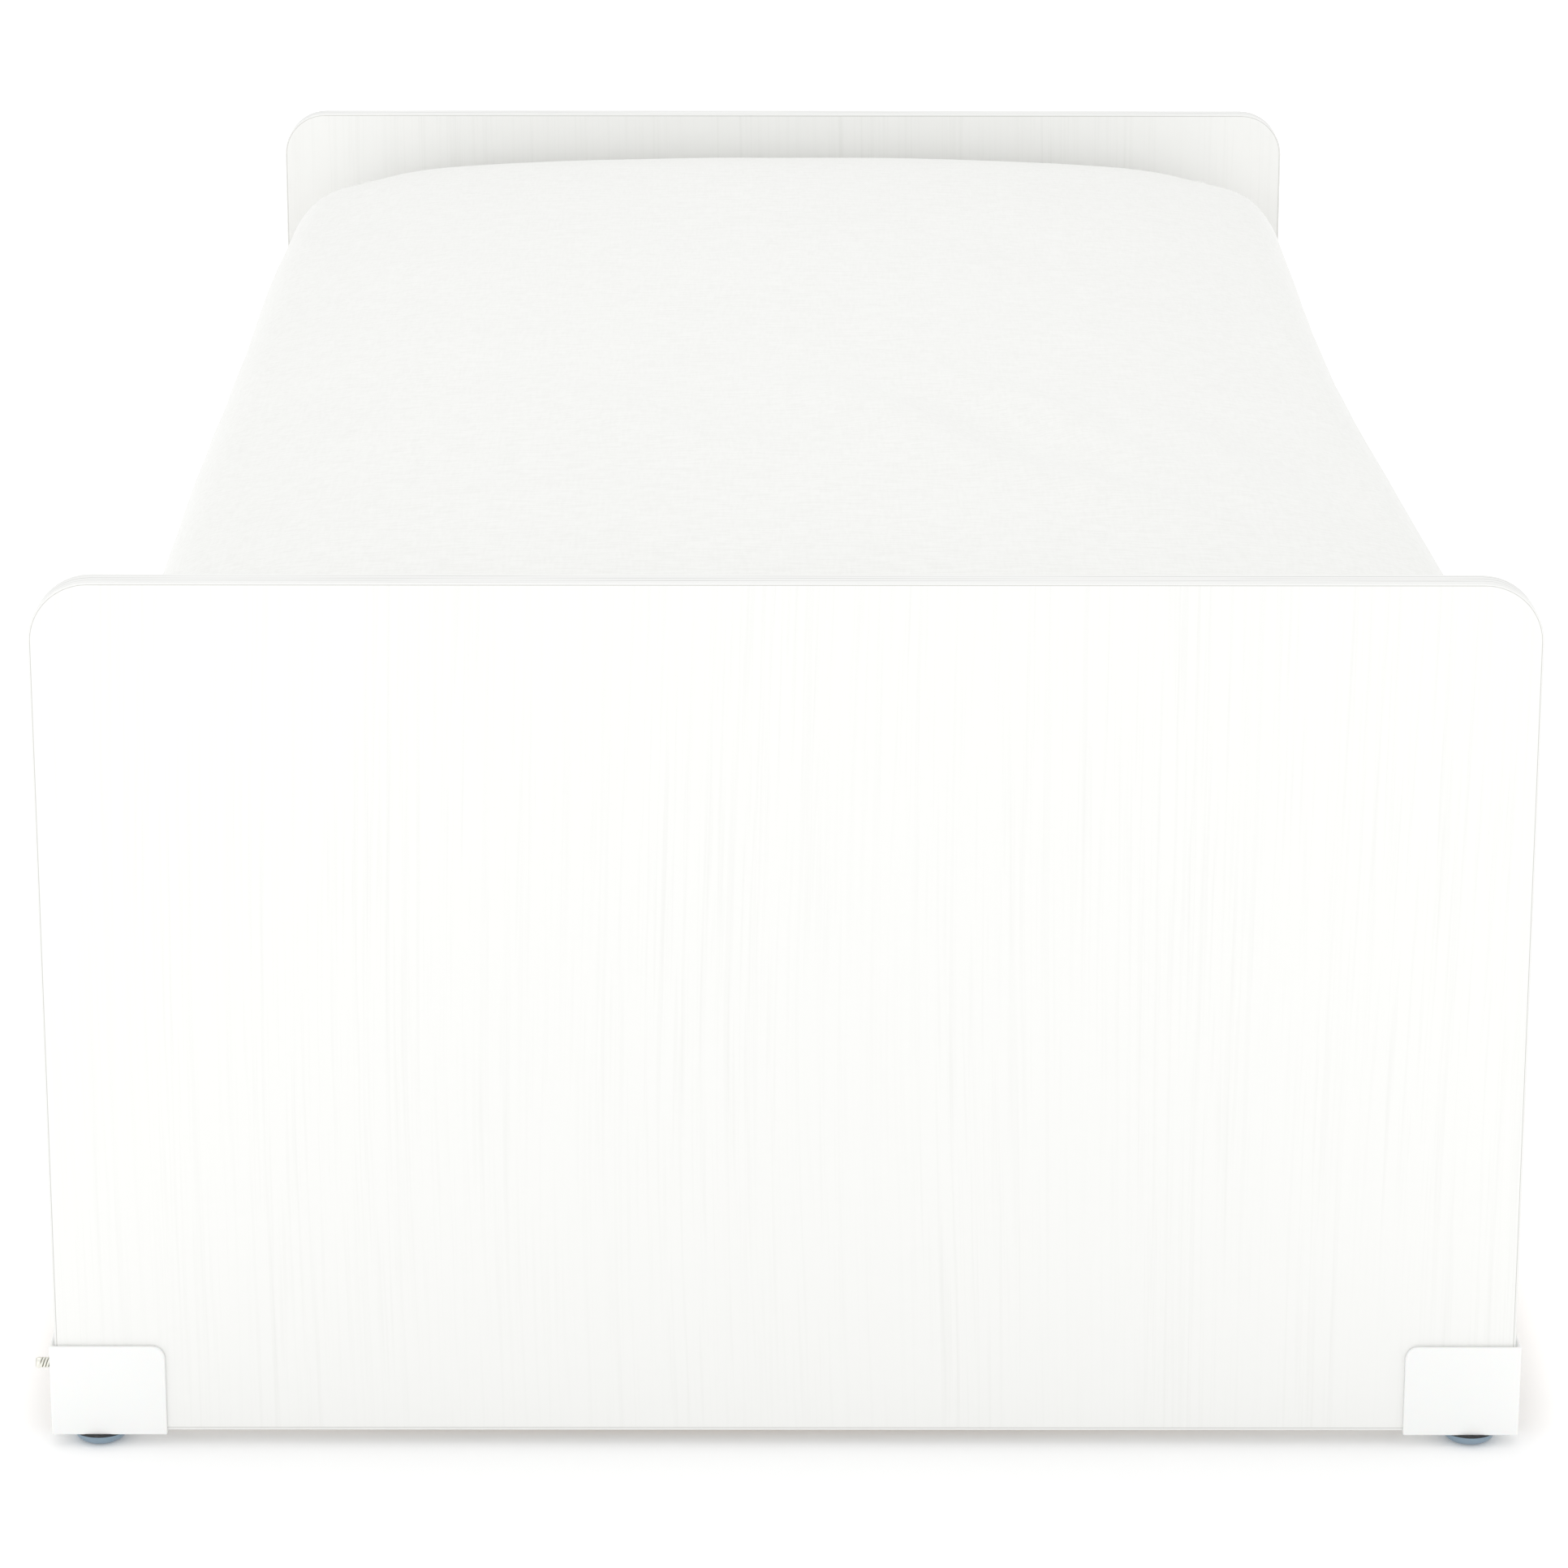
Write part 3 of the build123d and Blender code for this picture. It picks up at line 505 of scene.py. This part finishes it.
def box_surface(cells):
    """The surface of a box as a grid of quads. Its points have parts from -1 to 1."""
    numbers, points, faces = {}, [], []

    def number(key):
        if key not in numbers:
            numbers[key] = len(points)
            points.append(Vector([2 * n / c - 1 for n, c in zip(key, cells)]))
        return numbers[key]

    for axis in range(3):
        first, second = (axis + 1) % 3, (axis + 2) % 3
        for side in (0, cells[axis]):
            for a in range(cells[first]):
                for b in range(cells[second]):
                    ring = []
                    for da, db in ((0, 0), (1, 0), (1, 1), (0, 1)):
                        key = [side, side, side]
                        key[first], key[second] = a + da, b + db
                        ring.append(number(tuple(key)))
                    faces.append(ring if side else ring[::-1])
    return points, faces


# ---- Mattress --------------------------------------------------------------------------------------

HALF_WIDTH = 352 * MM
HALF_LENGTH = 700 * MM
SHEET_BOTTOM = SHEET_LOW.z + 0.2 * MM
SHEET_TOP = SHEET_HIGH.z
HEIGHT = SHEET_TOP - SHEET_BOTTOM
PLAN_CORNER = 72 * MM
HEAD_CORNER = 104 * MM
# The share of the height at which the sides are widest.
WIDEST = 0.45
SIDE_TUCK = 24 * MM
END_TUCK = 14 * MM
SHOULDER = 22 * MM
HEAD_SHOULDER = 9 * MM
CROWN_DROP = 14 * MM
CROWN_POWER = 2.6
# How much of that drop each end has.
HEAD_END_SHARE = 0.15
FOOT_END_SHARE = 0.5
HEAD_RISE = 1.8 * MM
HEAD_SPREAD = 9 * MM
HEM_REACH = 70 * MM
SHEET_CELL = 12 * MM
SHEET_THICKNESS = 0.9 * MM
COVER_INSET = 6.5 * MM
FOAM_INSET = 11.5 * MM
QUILT_PITCH = 66 * MM
QUILT_DEPTH = 1.8 * MM
SEAM_STEPS = 60
SEAM_LOWEST = -34
SEAM_SWEEP = 72
CLOTH_FRAMES = 20
CLOTH_PRESSURE = 4.0
CLOTH_CAP = 6 * MM

# Long soft ridges that the sheet's diagonal pull leaves: start, end, height and half-width.
RIDGES = [
    ((-0.010, -0.160), (0.215, -0.500), 6.6 * MM, 30 * MM),
    ((0.085, -0.120), (0.262, -0.470), 6.0 * MM, 25 * MM),
    ((0.185, -0.200), (0.290, -0.450), 4.8 * MM, 21 * MM),
    ((-0.160, -0.150), (-0.020, -0.360), 3.6 * MM, 30 * MM),
    ((-0.070, 0.020), (0.110, -0.130), 1.0 * MM, 22 * MM),
    ((0.100, 0.090), (0.280, -0.110), 1.0 * MM, 18 * MM),
    ((-0.260, -0.420), (-0.060, -0.560), 1.2 * MM, 20 * MM),
    ((0.040, 0.330), (0.230, 0.180), 0.8 * MM, 24 * MM),
    ((-0.240, 0.250), (-0.080, 0.140), 0.8 * MM, 24 * MM),
]
HOLLOW_MIDDLE = Vector((0.118, -0.285))
HOLLOW_DEPTH = 6 * MM


def rounded_plan(u, v, half_x, half_y, corner):
    """A point of the unit square, moved into a rectangle whose corners are rounded."""
    x, y = u * half_x, v * half_y
    past_x = abs(x) - (half_x - corner)
    past_y = abs(y) - (half_y - corner)
    if past_x > 0 and past_y > 0:
        reach = max(past_x, past_y) / math.hypot(past_x, past_y)
        x = math.copysign(half_x - corner + past_x * reach, x)
        y = math.copysign(half_y - corner + past_y * reach, y)
    return x, y


def side_inset(share, tuck, shoulder):
    """How far a side lies inside its widest line: tucked in below it, rounded over above it."""
    if share < WIDEST:
        return tuck * ((WIDEST - share) / WIDEST) ** 2
    return shoulder * ((share - WIDEST) / (1 - WIDEST)) ** 3


def mattress_point(unit, inset):
    """Where a point of the unit box lies on the mattress's form, shrunk by inset."""
    share = (unit.z + 1) / 2
    corner, end_shoulder, end_share = PLAN_CORNER, SHOULDER, FOOT_END_SHARE
    if unit.y > 0:
        corner, end_shoulder, end_share = HEAD_CORNER, HEAD_SHOULDER, HEAD_END_SHARE
    x, y = rounded_plan(unit.x, unit.y, HALF_WIDTH, HALF_LENGTH, corner)
    side = side_inset(share, SIDE_TUCK, SHOULDER) + inset
    end = side_inset(share, END_TUCK, end_shoulder) + inset
    x *= 1 - side / HALF_WIDTH
    y *= 1 - end / HALF_LENGTH
    crown = CROWN_DROP * abs(unit.x) ** CROWN_POWER + end_share * CROWN_DROP * abs(unit.y) ** 8
    low = SHEET_BOTTOM + inset
    high = SHEET_TOP - inset - crown
    return Vector((x, y, low + (high - low) * share))


def mattress_shell(name, inset, cell, material):
    """A closed skin in the mattress's form, with quads of about that size."""
    cells = [round(2 * HALF_WIDTH / cell), round(2 * HALF_LENGTH / cell), round(HEIGHT / cell)]
    unit_points, faces = box_surface(cells)
    piece = add_piece(name, [mattress_point(u, inset) for u in unit_points], faces, material)
    soften = piece.modifiers.new("soften", "SMOOTH")
    soften.factor = 0.5
    soften.iterations = 6
    apply_modifiers(piece)
    return piece


def lay_askew(piece):
    set_points(piece, [v.co + askew(v.co) for v in piece.data.vertices])


def puff(piece):
    """Fills the closed skin with pressure for a few frames. No point moves inward, or far outward."""
    start = [v.co.copy() for v in piece.data.vertices]
    outward = [n.vector.copy() for n in piece.data.vertex_normals]
    cloth = piece.modifiers.new("puff", "CLOTH")
    cloth.settings.use_pressure = True
    cloth.settings.uniform_pressure_force = CLOTH_PRESSURE
    cloth.settings.effector_weights.gravity = 0
    cloth.settings.quality = 5
    for number in range(1, CLOTH_FRAMES + 1):
        scene.frame_set(number)
    apply_modifiers(piece)
    scene.frame_set(1)
    points = []
    for vertex, first, out in zip(piece.data.vertices, start, outward):
        move = vertex.co - first
        move -= out * min(0.0, move.dot(out))
        points.append(first + move * min(1.0, CLOTH_CAP / max(move.length, CLOTH_CAP)))
    set_points(piece, points)


def subdivide(piece):
    piece.modifiers.new("fine", "SUBSURF").levels = 1
    apply_modifiers(piece)


def above_rails(z):
    """0 between the side rails, where the mattress is held, rising to 1 above them."""
    return smoothstep(z, RAIL_TOP - 4 * MM, RAIL_TOP + 34 * MM)


def askew(point):
    """How far a point above the rails moves sideways: askew at the foot, spread wider at the head."""
    turn = (1.2 - 10.5 * point.y + 18 * point.y ** 2) * MM
    spread = HEAD_SPREAD * point.x / HALF_WIDTH * smoothstep(point.y, 0.0, 0.6)
    return Vector((above_rails(point.z) * (turn + spread), 0, 0))


def ridge_height(x, y):
    """The sum of the diagonal ridges and the hollow between them."""
    total = 0.0
    here = Vector((x, y))
    for start, end, height, width in RIDGES:
        first, along = Vector(start), Vector(end) - Vector(start)
        share = (here - first).dot(along) / along.length_squared
        if -0.15 < share < 1.15:
            wander = 0.35 * width * math.sin(7 * share + 40 * height)
            aside = (here - first).cross(along) / along.length + wander
            ends = smoothstep(share, -0.15, 0.3) * smoothstep(1.15 - share, 0.0, 0.45)
            total += height * ends * math.exp(-((aside / width) ** 2))
    away = here - HOLLOW_MIDDLE
    spread = (away.x / 0.045) ** 2 + (away.y / 0.11) ** 2
    return total - HOLLOW_DEPTH * math.exp(-spread)


def corner_reach(point):
    """The point's place round the nearest plan corner: (distance from its middle, angle there)."""
    x = abs(point.x) - (HALF_WIDTH - PLAN_CORNER)
    y = abs(point.y) - (HALF_LENGTH - PLAN_CORNER)
    return math.hypot(x, y), math.atan2(y, x)


def drape(point, normal):
    """Moves a point of the plain skin to where the worn-in sheet lies."""
    x, y, z = point
    top = smoothstep(normal.z, 0.3, 0.95)
    wall = 1 - abs(normal.z)
    lift = (ridge_height(x, y) + HEAD_RISE * smoothstep(y, 0.1, 0.6)) * top
    lift += 0.9 * MM * wrinkle_noise(5 * x, 3.4 * y, 0, 3.1) * top
    lift += 0.35 * MM * wrinkle_noise(15 * x + 11 * y, 9 * y - 6 * x, 0, 8.2) * top
    hang = 1.1 * MM * wrinkle_noise(13 * x, 13 * y, 5 * z, 5.7) * wall
    radius, angle = corner_reach(point)
    near_corner = smoothstep(radius, 0.02, 0.06) * smoothstep(0.16 - radius, 0.0, 0.08)
    if angle > -0.9 or angle < -2.6:
        low_down = smoothstep(SHEET_TOP - z, 10 * MM, 80 * MM)
        hang += 1.3 * MM * math.sin(15 * angle + 30 * z) * near_corner * wall * low_down
    gather = 0.0
    if normal.z < -0.5:
        run = y if abs(x) / HALF_WIDTH > abs(y) / HALF_LENGTH else x
        uneven = 3 * wrinkle_noise(9 * x, 9 * y, 0, 2)
        gather = 0.8 * MM * (1 + math.sin(math.tau * run / (26 * MM) + uneven))
    return point + askew(point) + normal * hang * above_rails(z) + Vector((0, 0, lift + gather))


def make_sheet(material):
    """The fitted sheet: puffed skin, worn-in folds, open below, with a thickness."""
    piece = mattress_shell("cotton_fitted_sheet", 0.0, SHEET_CELL, material)
    puff(piece)
    subdivide(piece)
    normals = [n.vector.copy() for n in piece.data.vertex_normals]
    set_points(piece, [drape(v.co.copy(), n) for v, n in zip(piece.data.vertices, normals)])
    open_below(piece)
    thick = piece.modifiers.new("thick", "SOLIDIFY")
    thick.thickness = SHEET_THICKNESS
    thick.offset = -1
    apply_modifiers(piece)
    return piece


def hem_half_sizes():
    return HALF_WIDTH - SIDE_TUCK - HEM_REACH, HALF_LENGTH - END_TUCK - HEM_REACH


def open_below(piece):
    """Cuts the mouth out of the sheet's underside."""
    half_x, half_y = hem_half_sizes()
    kept = []
    for face in piece.data.polygons:
        middle = face.center
        x = abs(middle.x) - (half_x - PLAN_CORNER)
        y = abs(middle.y) - (half_y - PLAN_CORNER)
        outside = math.hypot(max(x, 0.0), max(y, 0.0)) + min(max(x, y), 0.0) - PLAN_CORNER
        if face.normal.z > -0.5 or outside > 0:
            kept.append(tuple(face.vertices))
    used = sorted({v for face in kept for v in face})
    number = {old: new for new, old in enumerate(used)}
    points = [piece.data.vertices[v].co.copy() for v in used]
    mesh = bpy.data.meshes.new(piece.name)
    mesh.from_pydata(points, [], [[number[v] for v in face] for face in kept])
    mesh.polygons.foreach_set("use_smooth", [True] * len(mesh.polygons))
    mesh.materials.append(piece.data.materials[0])
    piece.data = mesh


def rounded_path(half_x, half_y, corner, z, step):
    """Evenly spaced points round a rectangle with rounded corners."""
    corners = [(half_x - corner, half_y - corner, 0), (corner - half_x, half_y - corner, 1),
               (corner - half_x, corner - half_y, 2), (half_x - corner, corner - half_y, 3)]
    rough = []
    for x, y, quarter in corners:
        for k in range(13):
            turn = (quarter + k / 12) * math.pi / 2
            rough.append(Vector((x + corner * math.cos(turn), y + corner * math.sin(turn), z)))
    path = []
    for first, second in zip(rough, rough[1:] + rough[:1]):
        count = max(1, round((second - first).length / step))
        path += [first.lerp(second, k / count) for k in range(count)]
    return path


def make_hem(material):
    """The gathered casing with its elastic, round the sheet's mouth."""
    half_x, half_y = hem_half_sizes()
    path = rounded_path(half_x, half_y, PLAN_CORNER, SHEET_BOTTOM + 2.4 * MM, 3 * MM)
    radii = []
    for i, point in enumerate(path):
        crimp = 1 + 0.28 * math.sin(1.9 * i + 2 * wrinkle_noise(30 * point.x, 30 * point.y, 0, 4))
        radii.append((4.2 * MM * crimp, 1.7 * MM * crimp))
    return tube("elastic_hem", path, radii, material, closed=True)


def make_corner_seams(sheet, material):
    """The raised seam down each corner of the sheet, from its shoulder to its hem."""
    tree = BVHTree.FromObject(sheet, bpy.context.evaluated_depsgraph_get())
    seams = []
    out_x = HALF_WIDTH - 1.5 * PLAN_CORNER
    out_y = HALF_LENGTH - 1.5 * PLAN_CORNER
    for number, (side, end) in enumerate(((1, 1), (-1, 1), (-1, -1), (1, -1)), start=1):
        middle = Vector((side * out_x, end * out_y, SHEET_BOTTOM + HEIGHT / 2))
        path = []
        for k in range(SEAM_STEPS + 1):
            rise = math.radians(SEAM_LOWEST + SEAM_SWEEP * k / SEAM_STEPS)
            flat = math.cos(rise) / math.sqrt(2)
            way = Vector((side * flat, end * flat, math.sin(rise)))
            hit = tree.ray_cast(middle, way)[0]
            if hit is not None:
                path.append(hit + way * SHEET_THICKNESS)
        taper = [min(1.0, 0.25 + 0.15 * min(k, len(path) - 1 - k)) for k in range(len(path))]
        bumps = [1 + 0.18 * math.sin(2.1 * k) for k in range(len(path))]
        radii = [(1.1 * MM * t * b, 0.9 * MM * t * b) for t, b in zip(taper, bumps)]
        seams.append(tube(f"sheet_corner_seam_{number}", path, radii, material, sides=8))
    return seams


def make_cover(material):
    """The quilted ticking: channels sewn in diamonds on the faces, and a smooth border."""
    piece = mattress_shell("quilted_mattress_cover", COVER_INSET, 11 * MM, material)
    normals = [n.vector.copy() for n in piece.data.vertex_normals]
    points = []
    for vertex, normal in zip(piece.data.vertices, normals):
        x, y, _ = vertex.co
        one_way = math.sin(math.pi * (x + y) / QUILT_PITCH)
        other_way = math.sin(math.pi * (x - y) / QUILT_PITCH)
        channel = abs(one_way * other_way)
        depth = QUILT_DEPTH * (1 - min(1.0, 1.6 * channel)) * smoothstep(abs(normal.z), 0.7, 0.95)
        points.append(vertex.co - normal * depth)
    set_points(piece, points)
    subdivide(piece)
    lay_askew(piece)
    return piece


# ---- Webbing straps and the stud -------------------------------------------------------------------

STRAP_SAG = 1.6 * MM
THREAD_PITCH = 1.55 * MM
THREAD_STARTS = 3
STUD_TIP = 2.3 * MM
THREAD_CREST = 2.85 * MM


def strap_drop(y):
    """How far the strap hangs below the slats: it sags between them."""
    for (_, before), (after, _) in zip(SLATS, SLATS[1:]):
        if before.y < y < after.y:
            return STRAP_SAG * math.sin(math.pi * (y - before.y) / (after.y - before.y)) ** 2
    return 0.0


def make_strap(name, node, material):
    """A flat woven strap with thicker selvedges, under all the slats."""
    low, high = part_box(node)
    middle, half = (low.x + high.x) / 2, (high.x - low.x) / 2
    thickness = high.z - low.z
    lower = [(-1.0, -0.35), (-0.93, -0.5), (-0.8, -0.42), (0.0, -0.42),
             (0.8, -0.42), (0.93, -0.5), (1.0, -0.35)]
    section = lower + [(a, -b) for a, b in reversed(lower)]
    points, faces = [], []
    stations = round((high.y - low.y) / (4 * MM))
    for i in range(stations + 1):
        y = low.y + (high.y - low.y) * i / stations
        z = (low.z + high.z) / 2 - strap_drop(y)
        points += [Vector((middle + a * half, y, z + b * thickness)) for a, b in section]
    count = len(section)
    for i in range(stations):
        a, b = i * count, (i + 1) * count
        faces += [(a + k, b + k, b + (k + 1) % count, a + (k + 1) % count) for k in range(count)]
    faces.append(tuple(range(count)))
    faces.append(tuple(reversed(range(stations * count, (stations + 1) * count))))
    return add_piece(name, points, faces, material)


def make_stud(material):
    """The threaded stud: a turned bar whose ridge climbs as a helix, with a chamfered end."""
    low, high = STUD_LOW, STUD_HIGH
    length = high.x - low.x
    axis_y, axis_z = (low.y + high.y) / 2, (low.z + high.z) / 2
    sides, per_turn = 48, 10
    stations = round(length / THREAD_PITCH * per_turn)
    points, faces = [], []
    for i in range(stations + 1):
        along = length * i / stations
        end = smoothstep(along, 0.0, 0.9 * MM)
        threaded = smoothstep(along, STUD_TIP - 0.5 * MM, STUD_TIP + 0.5 * MM)
        for k in range(sides):
            phase = (along / THREAD_PITCH + THREAD_STARTS * k / sides) % 1.0
            groove = threaded * (1 - smoothstep(1 - abs(2 * phase - 1), 0.12, 0.62))
            radius = (THREAD_CREST - (THREAD_CREST - THREAD_ROOT) * groove) * (0.82 + 0.18 * end)
            turn = math.tau * k / sides
            y = axis_y + radius * math.cos(turn)
            z = axis_z + radius * math.sin(turn)
            points.append(Vector((low.x + along, y, z)))
    for i in range(stations):
        a, b = i * sides, (i + 1) * sides
        faces += [(a + k, a + (k + 1) % sides, b + (k + 1) % sides, b + k) for k in range(sides)]
    faces.append(tuple(reversed(range(sides))))
    faces.append(tuple(range(stations * sides, (stations + 1) * sides)))
    return add_piece("threaded_stud", points, faces, material)


# ---- Studio ----------------------------------------------------------------------------------------

CAMERA_LENS = 123.96
CAMERA_PLACE = (-0.005, -3.276, 1.086)
# In degrees.
CAMERA_PITCH, CAMERA_YAW, CAMERA_ROLL = 90 - 16.11, -0.09, 0.07
FLOOR_SIZE = 6.0
GLOW_NEAR = 0.145
GLOW_FAR = 0.22
GLOW_BESIDE = 0.28
SURROUND_AS_LIGHT = 0.93


def make_camera():
    """The photograph's view: from the foot end, a little above, with a long lens."""
    data = bpy.data.cameras.new("camera")
    data.sensor_width = 36
    data.lens = CAMERA_LENS
    data.clip_end = 100
    camera = bpy.data.objects.new("camera", data)
    scene.collection.objects.link(camera)
    pitch, yaw, roll = (math.radians(a) for a in (CAMERA_PITCH, CAMERA_YAW, CAMERA_ROLL))
    turn = Matrix.Rotation(yaw, 4, "Z") @ Matrix.Rotation(pitch, 4, "X") @ Matrix.Rotation(roll, 4, "Z")
    camera.matrix_world = Matrix.Translation(CAMERA_PLACE) @ turn
    scene.camera = camera


def make_floor():
    """A pale floor with a faint glow of its own, stronger beside the bed, so that it comes out white."""
    finish = Finish("floor_paint", 0.9)
    cloud = finish.noise(finish.place, 2.0, 2.0)
    finish.set(Base_Color=finish.blend(cloud, colour(0.89, 0.89, 0.89), colour(0.90, 0.90, 0.90)))
    x, y, _ = finish.parts(finish.place)
    squares = finish.total(finish.calc("POWER", x, 2.0), finish.calc("POWER", y, 2.0))
    reach = finish.calc("SQRT", squares)
    finish.set(Specular_IOR_Level=0.1, Emission_Color=colour(1, 1, 1))
    far = finish.step(reach, 0.80, 2.40, GLOW_NEAR, GLOW_FAR)
    moved_out = finish.step(y, -0.2, 0.4, 0.0, 0.07)
    aside = finish.calc("SUBTRACT", finish.calc("ABSOLUTE", x), moved_out)
    beside = finish.step(aside, 0.37, 0.42, 0.0, GLOW_BESIDE)
    finish.set(Emission_Strength=finish.total(far, beside))
    signs = ((-1, -1), (1, -1), (1, 1), (-1, 1))
    corners = [Vector((a * FLOOR_SIZE, b * FLOOR_SIZE, 0)) for a, b in signs]
    floor = add_piece("floor", corners, [(0, 1, 2, 3)], finish.material)


def make_world():
    """An even white surround: dimmer as a light than as the background that the camera sees."""
    world = bpy.data.worlds.new("studio")
    world.use_nodes = True
    tree = world.node_tree
    background = tree.nodes["Background"]
    background.inputs["Color"].default_value = (1, 1, 1, 1)
    rays = tree.nodes.new("ShaderNodeLightPath")
    strength = tree.nodes.new("ShaderNodeMapRange")
    strength.inputs["To Min"].default_value = SURROUND_AS_LIGHT
    strength.inputs["To Max"].default_value = 1.0
    tree.links.new(rays.outputs["Is Camera Ray"], strength.inputs["Value"])
    tree.links.new(strength.outputs[0], background.inputs["Strength"])
    scene.world = world


def make_light(name, place, target, size, power):
    """A square softbox aimed at a point."""
    data = bpy.data.lights.new(name, "AREA")
    data.size = size
    data.energy = power
    light = bpy.data.objects.new(name, data)
    light.location = place
    light.rotation_mode = "QUATERNION"
    light.rotation_quaternion = (Vector(target) - Vector(place)).to_track_quat("-Z", "Y")
    scene.collection.objects.link(light)


make_camera()
make_floor()
make_world()
make_light("key", (-1.1, -4.2, 1.0), (0, -0.3, 0.2), 1.6, 10)
make_light("top", (-0.2, -0.1, 2.7), (0, 0.1, 0.4), 1.6, 11.5)
scene.view_settings.view_transform = "Standard"

# ---- Finishes on the CAD nodes ---------------------------------------------------------------------

PINE = (colour(0.72, 0.52, 0.30), colour(0.54, 0.33, 0.155))
BEECH = (colour(0.62, 0.42, 0.26), colour(0.50, 0.31, 0.18))

plain_plastic = shoe_plastic("shoe_plastic")
steel = metal("zinc_plate", colour(0.72, 0.73, 0.74), colour(0.58, 0.60, 0.63), 0.32)
rail_edging = edging("edging_lengthwise", "y", RAIL_MIDDLE)
board_edging = edging("edging_boards", "x", BOARD_MIDDLE)
ledger_pine = timber("pine_lengthwise", "y", *PINE, knots=0.8)

# What each node's name ends with, and its finish.
FINISHES = [
    ("footboard_panel", laminate("laminate_footboard", "z", 0.28, with_joint=True)),
    ("headboard_panel", laminate("laminate_headboard", "z", 0.32, with_joint=True)),
    ("side_rail", laminate("laminate_rail", "y", 0.6)),
    ("footboard_edge_band", board_edging),
    ("headboard_edge_band", board_edging),
    ("footboard_bottom_band", board_edging),
    ("headboard_bottom_band", board_edging),
    ("rail_top_band", rail_edging),
    ("rail_bottom_band", rail_edging),
    ("corner_shoe", plain_plastic),
    ("cam_cover_caps", plain_plastic),
    ("glide_cup", seat_rubber("seat_rubber")),
    ("glide_pad", glide_plastic("glide_plastic")),
    ("screws", steel),
    ("cam_bolts", steel),
    ("staples", steel),
    ("cam_locks", metal("zinc_casting", colour(0.60, 0.61, 0.63), colour(0.44, 0.45, 0.48), 0.45)),
    ("slat_ledger", ledger_pine),
    ("ledger_pins", timber("beech_upright", "z", *BEECH, knots=0.0)),
    ("wooden_dowels", timber("beech_lengthwise", "y", *BEECH, knots=0.0)),
    ("slat", timber("pine_crosswise", "x", *PINE, knots=0.8)),
]

for name, node in nodes.items():
    trimmed = name.rstrip("0123456789").rstrip("_")
    found = [material for ending, material in FINISHES if trimmed.endswith(ending)]
    if found:
        node.data.materials.clear()
        node.data.materials.append(found[0])

# ---- New pieces ------------------------------------------------------------------------------------

white_cotton = cotton("white_cotton")
gathered = elastic("gathered_elastic")

foam_block = mattress_shell("foam_block", FOAM_INSET, 22 * MM, foam_finish("open_cell_foam"))
subdivide(foam_block)
lay_askew(foam_block)
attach(foam_block, "mattress")
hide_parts("mattress_core")

cover = make_cover(quilting("quilted_ticking"))
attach(cover, "mattress")
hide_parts("mattress_cover")

sheet = make_sheet(white_cotton)
hem = make_hem(gathered)
seams = make_corner_seams(sheet, white_cotton)
for piece in [sheet, hem, *seams]:
    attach(piece, "mattress")
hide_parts("fitted_sheet")

strap_web = webbing("strap_webbing")
for side in ("left", "right"):
    node = f"slat_strap_{side}"
    strap = make_strap(f"woven_strap_{side}", node, strap_web)
    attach(strap, "slatted_base")
    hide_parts(node)

stud = make_stud(yellow_zinc("yellow_zinc"))
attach(stud, "frame")
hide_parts("side_stud")
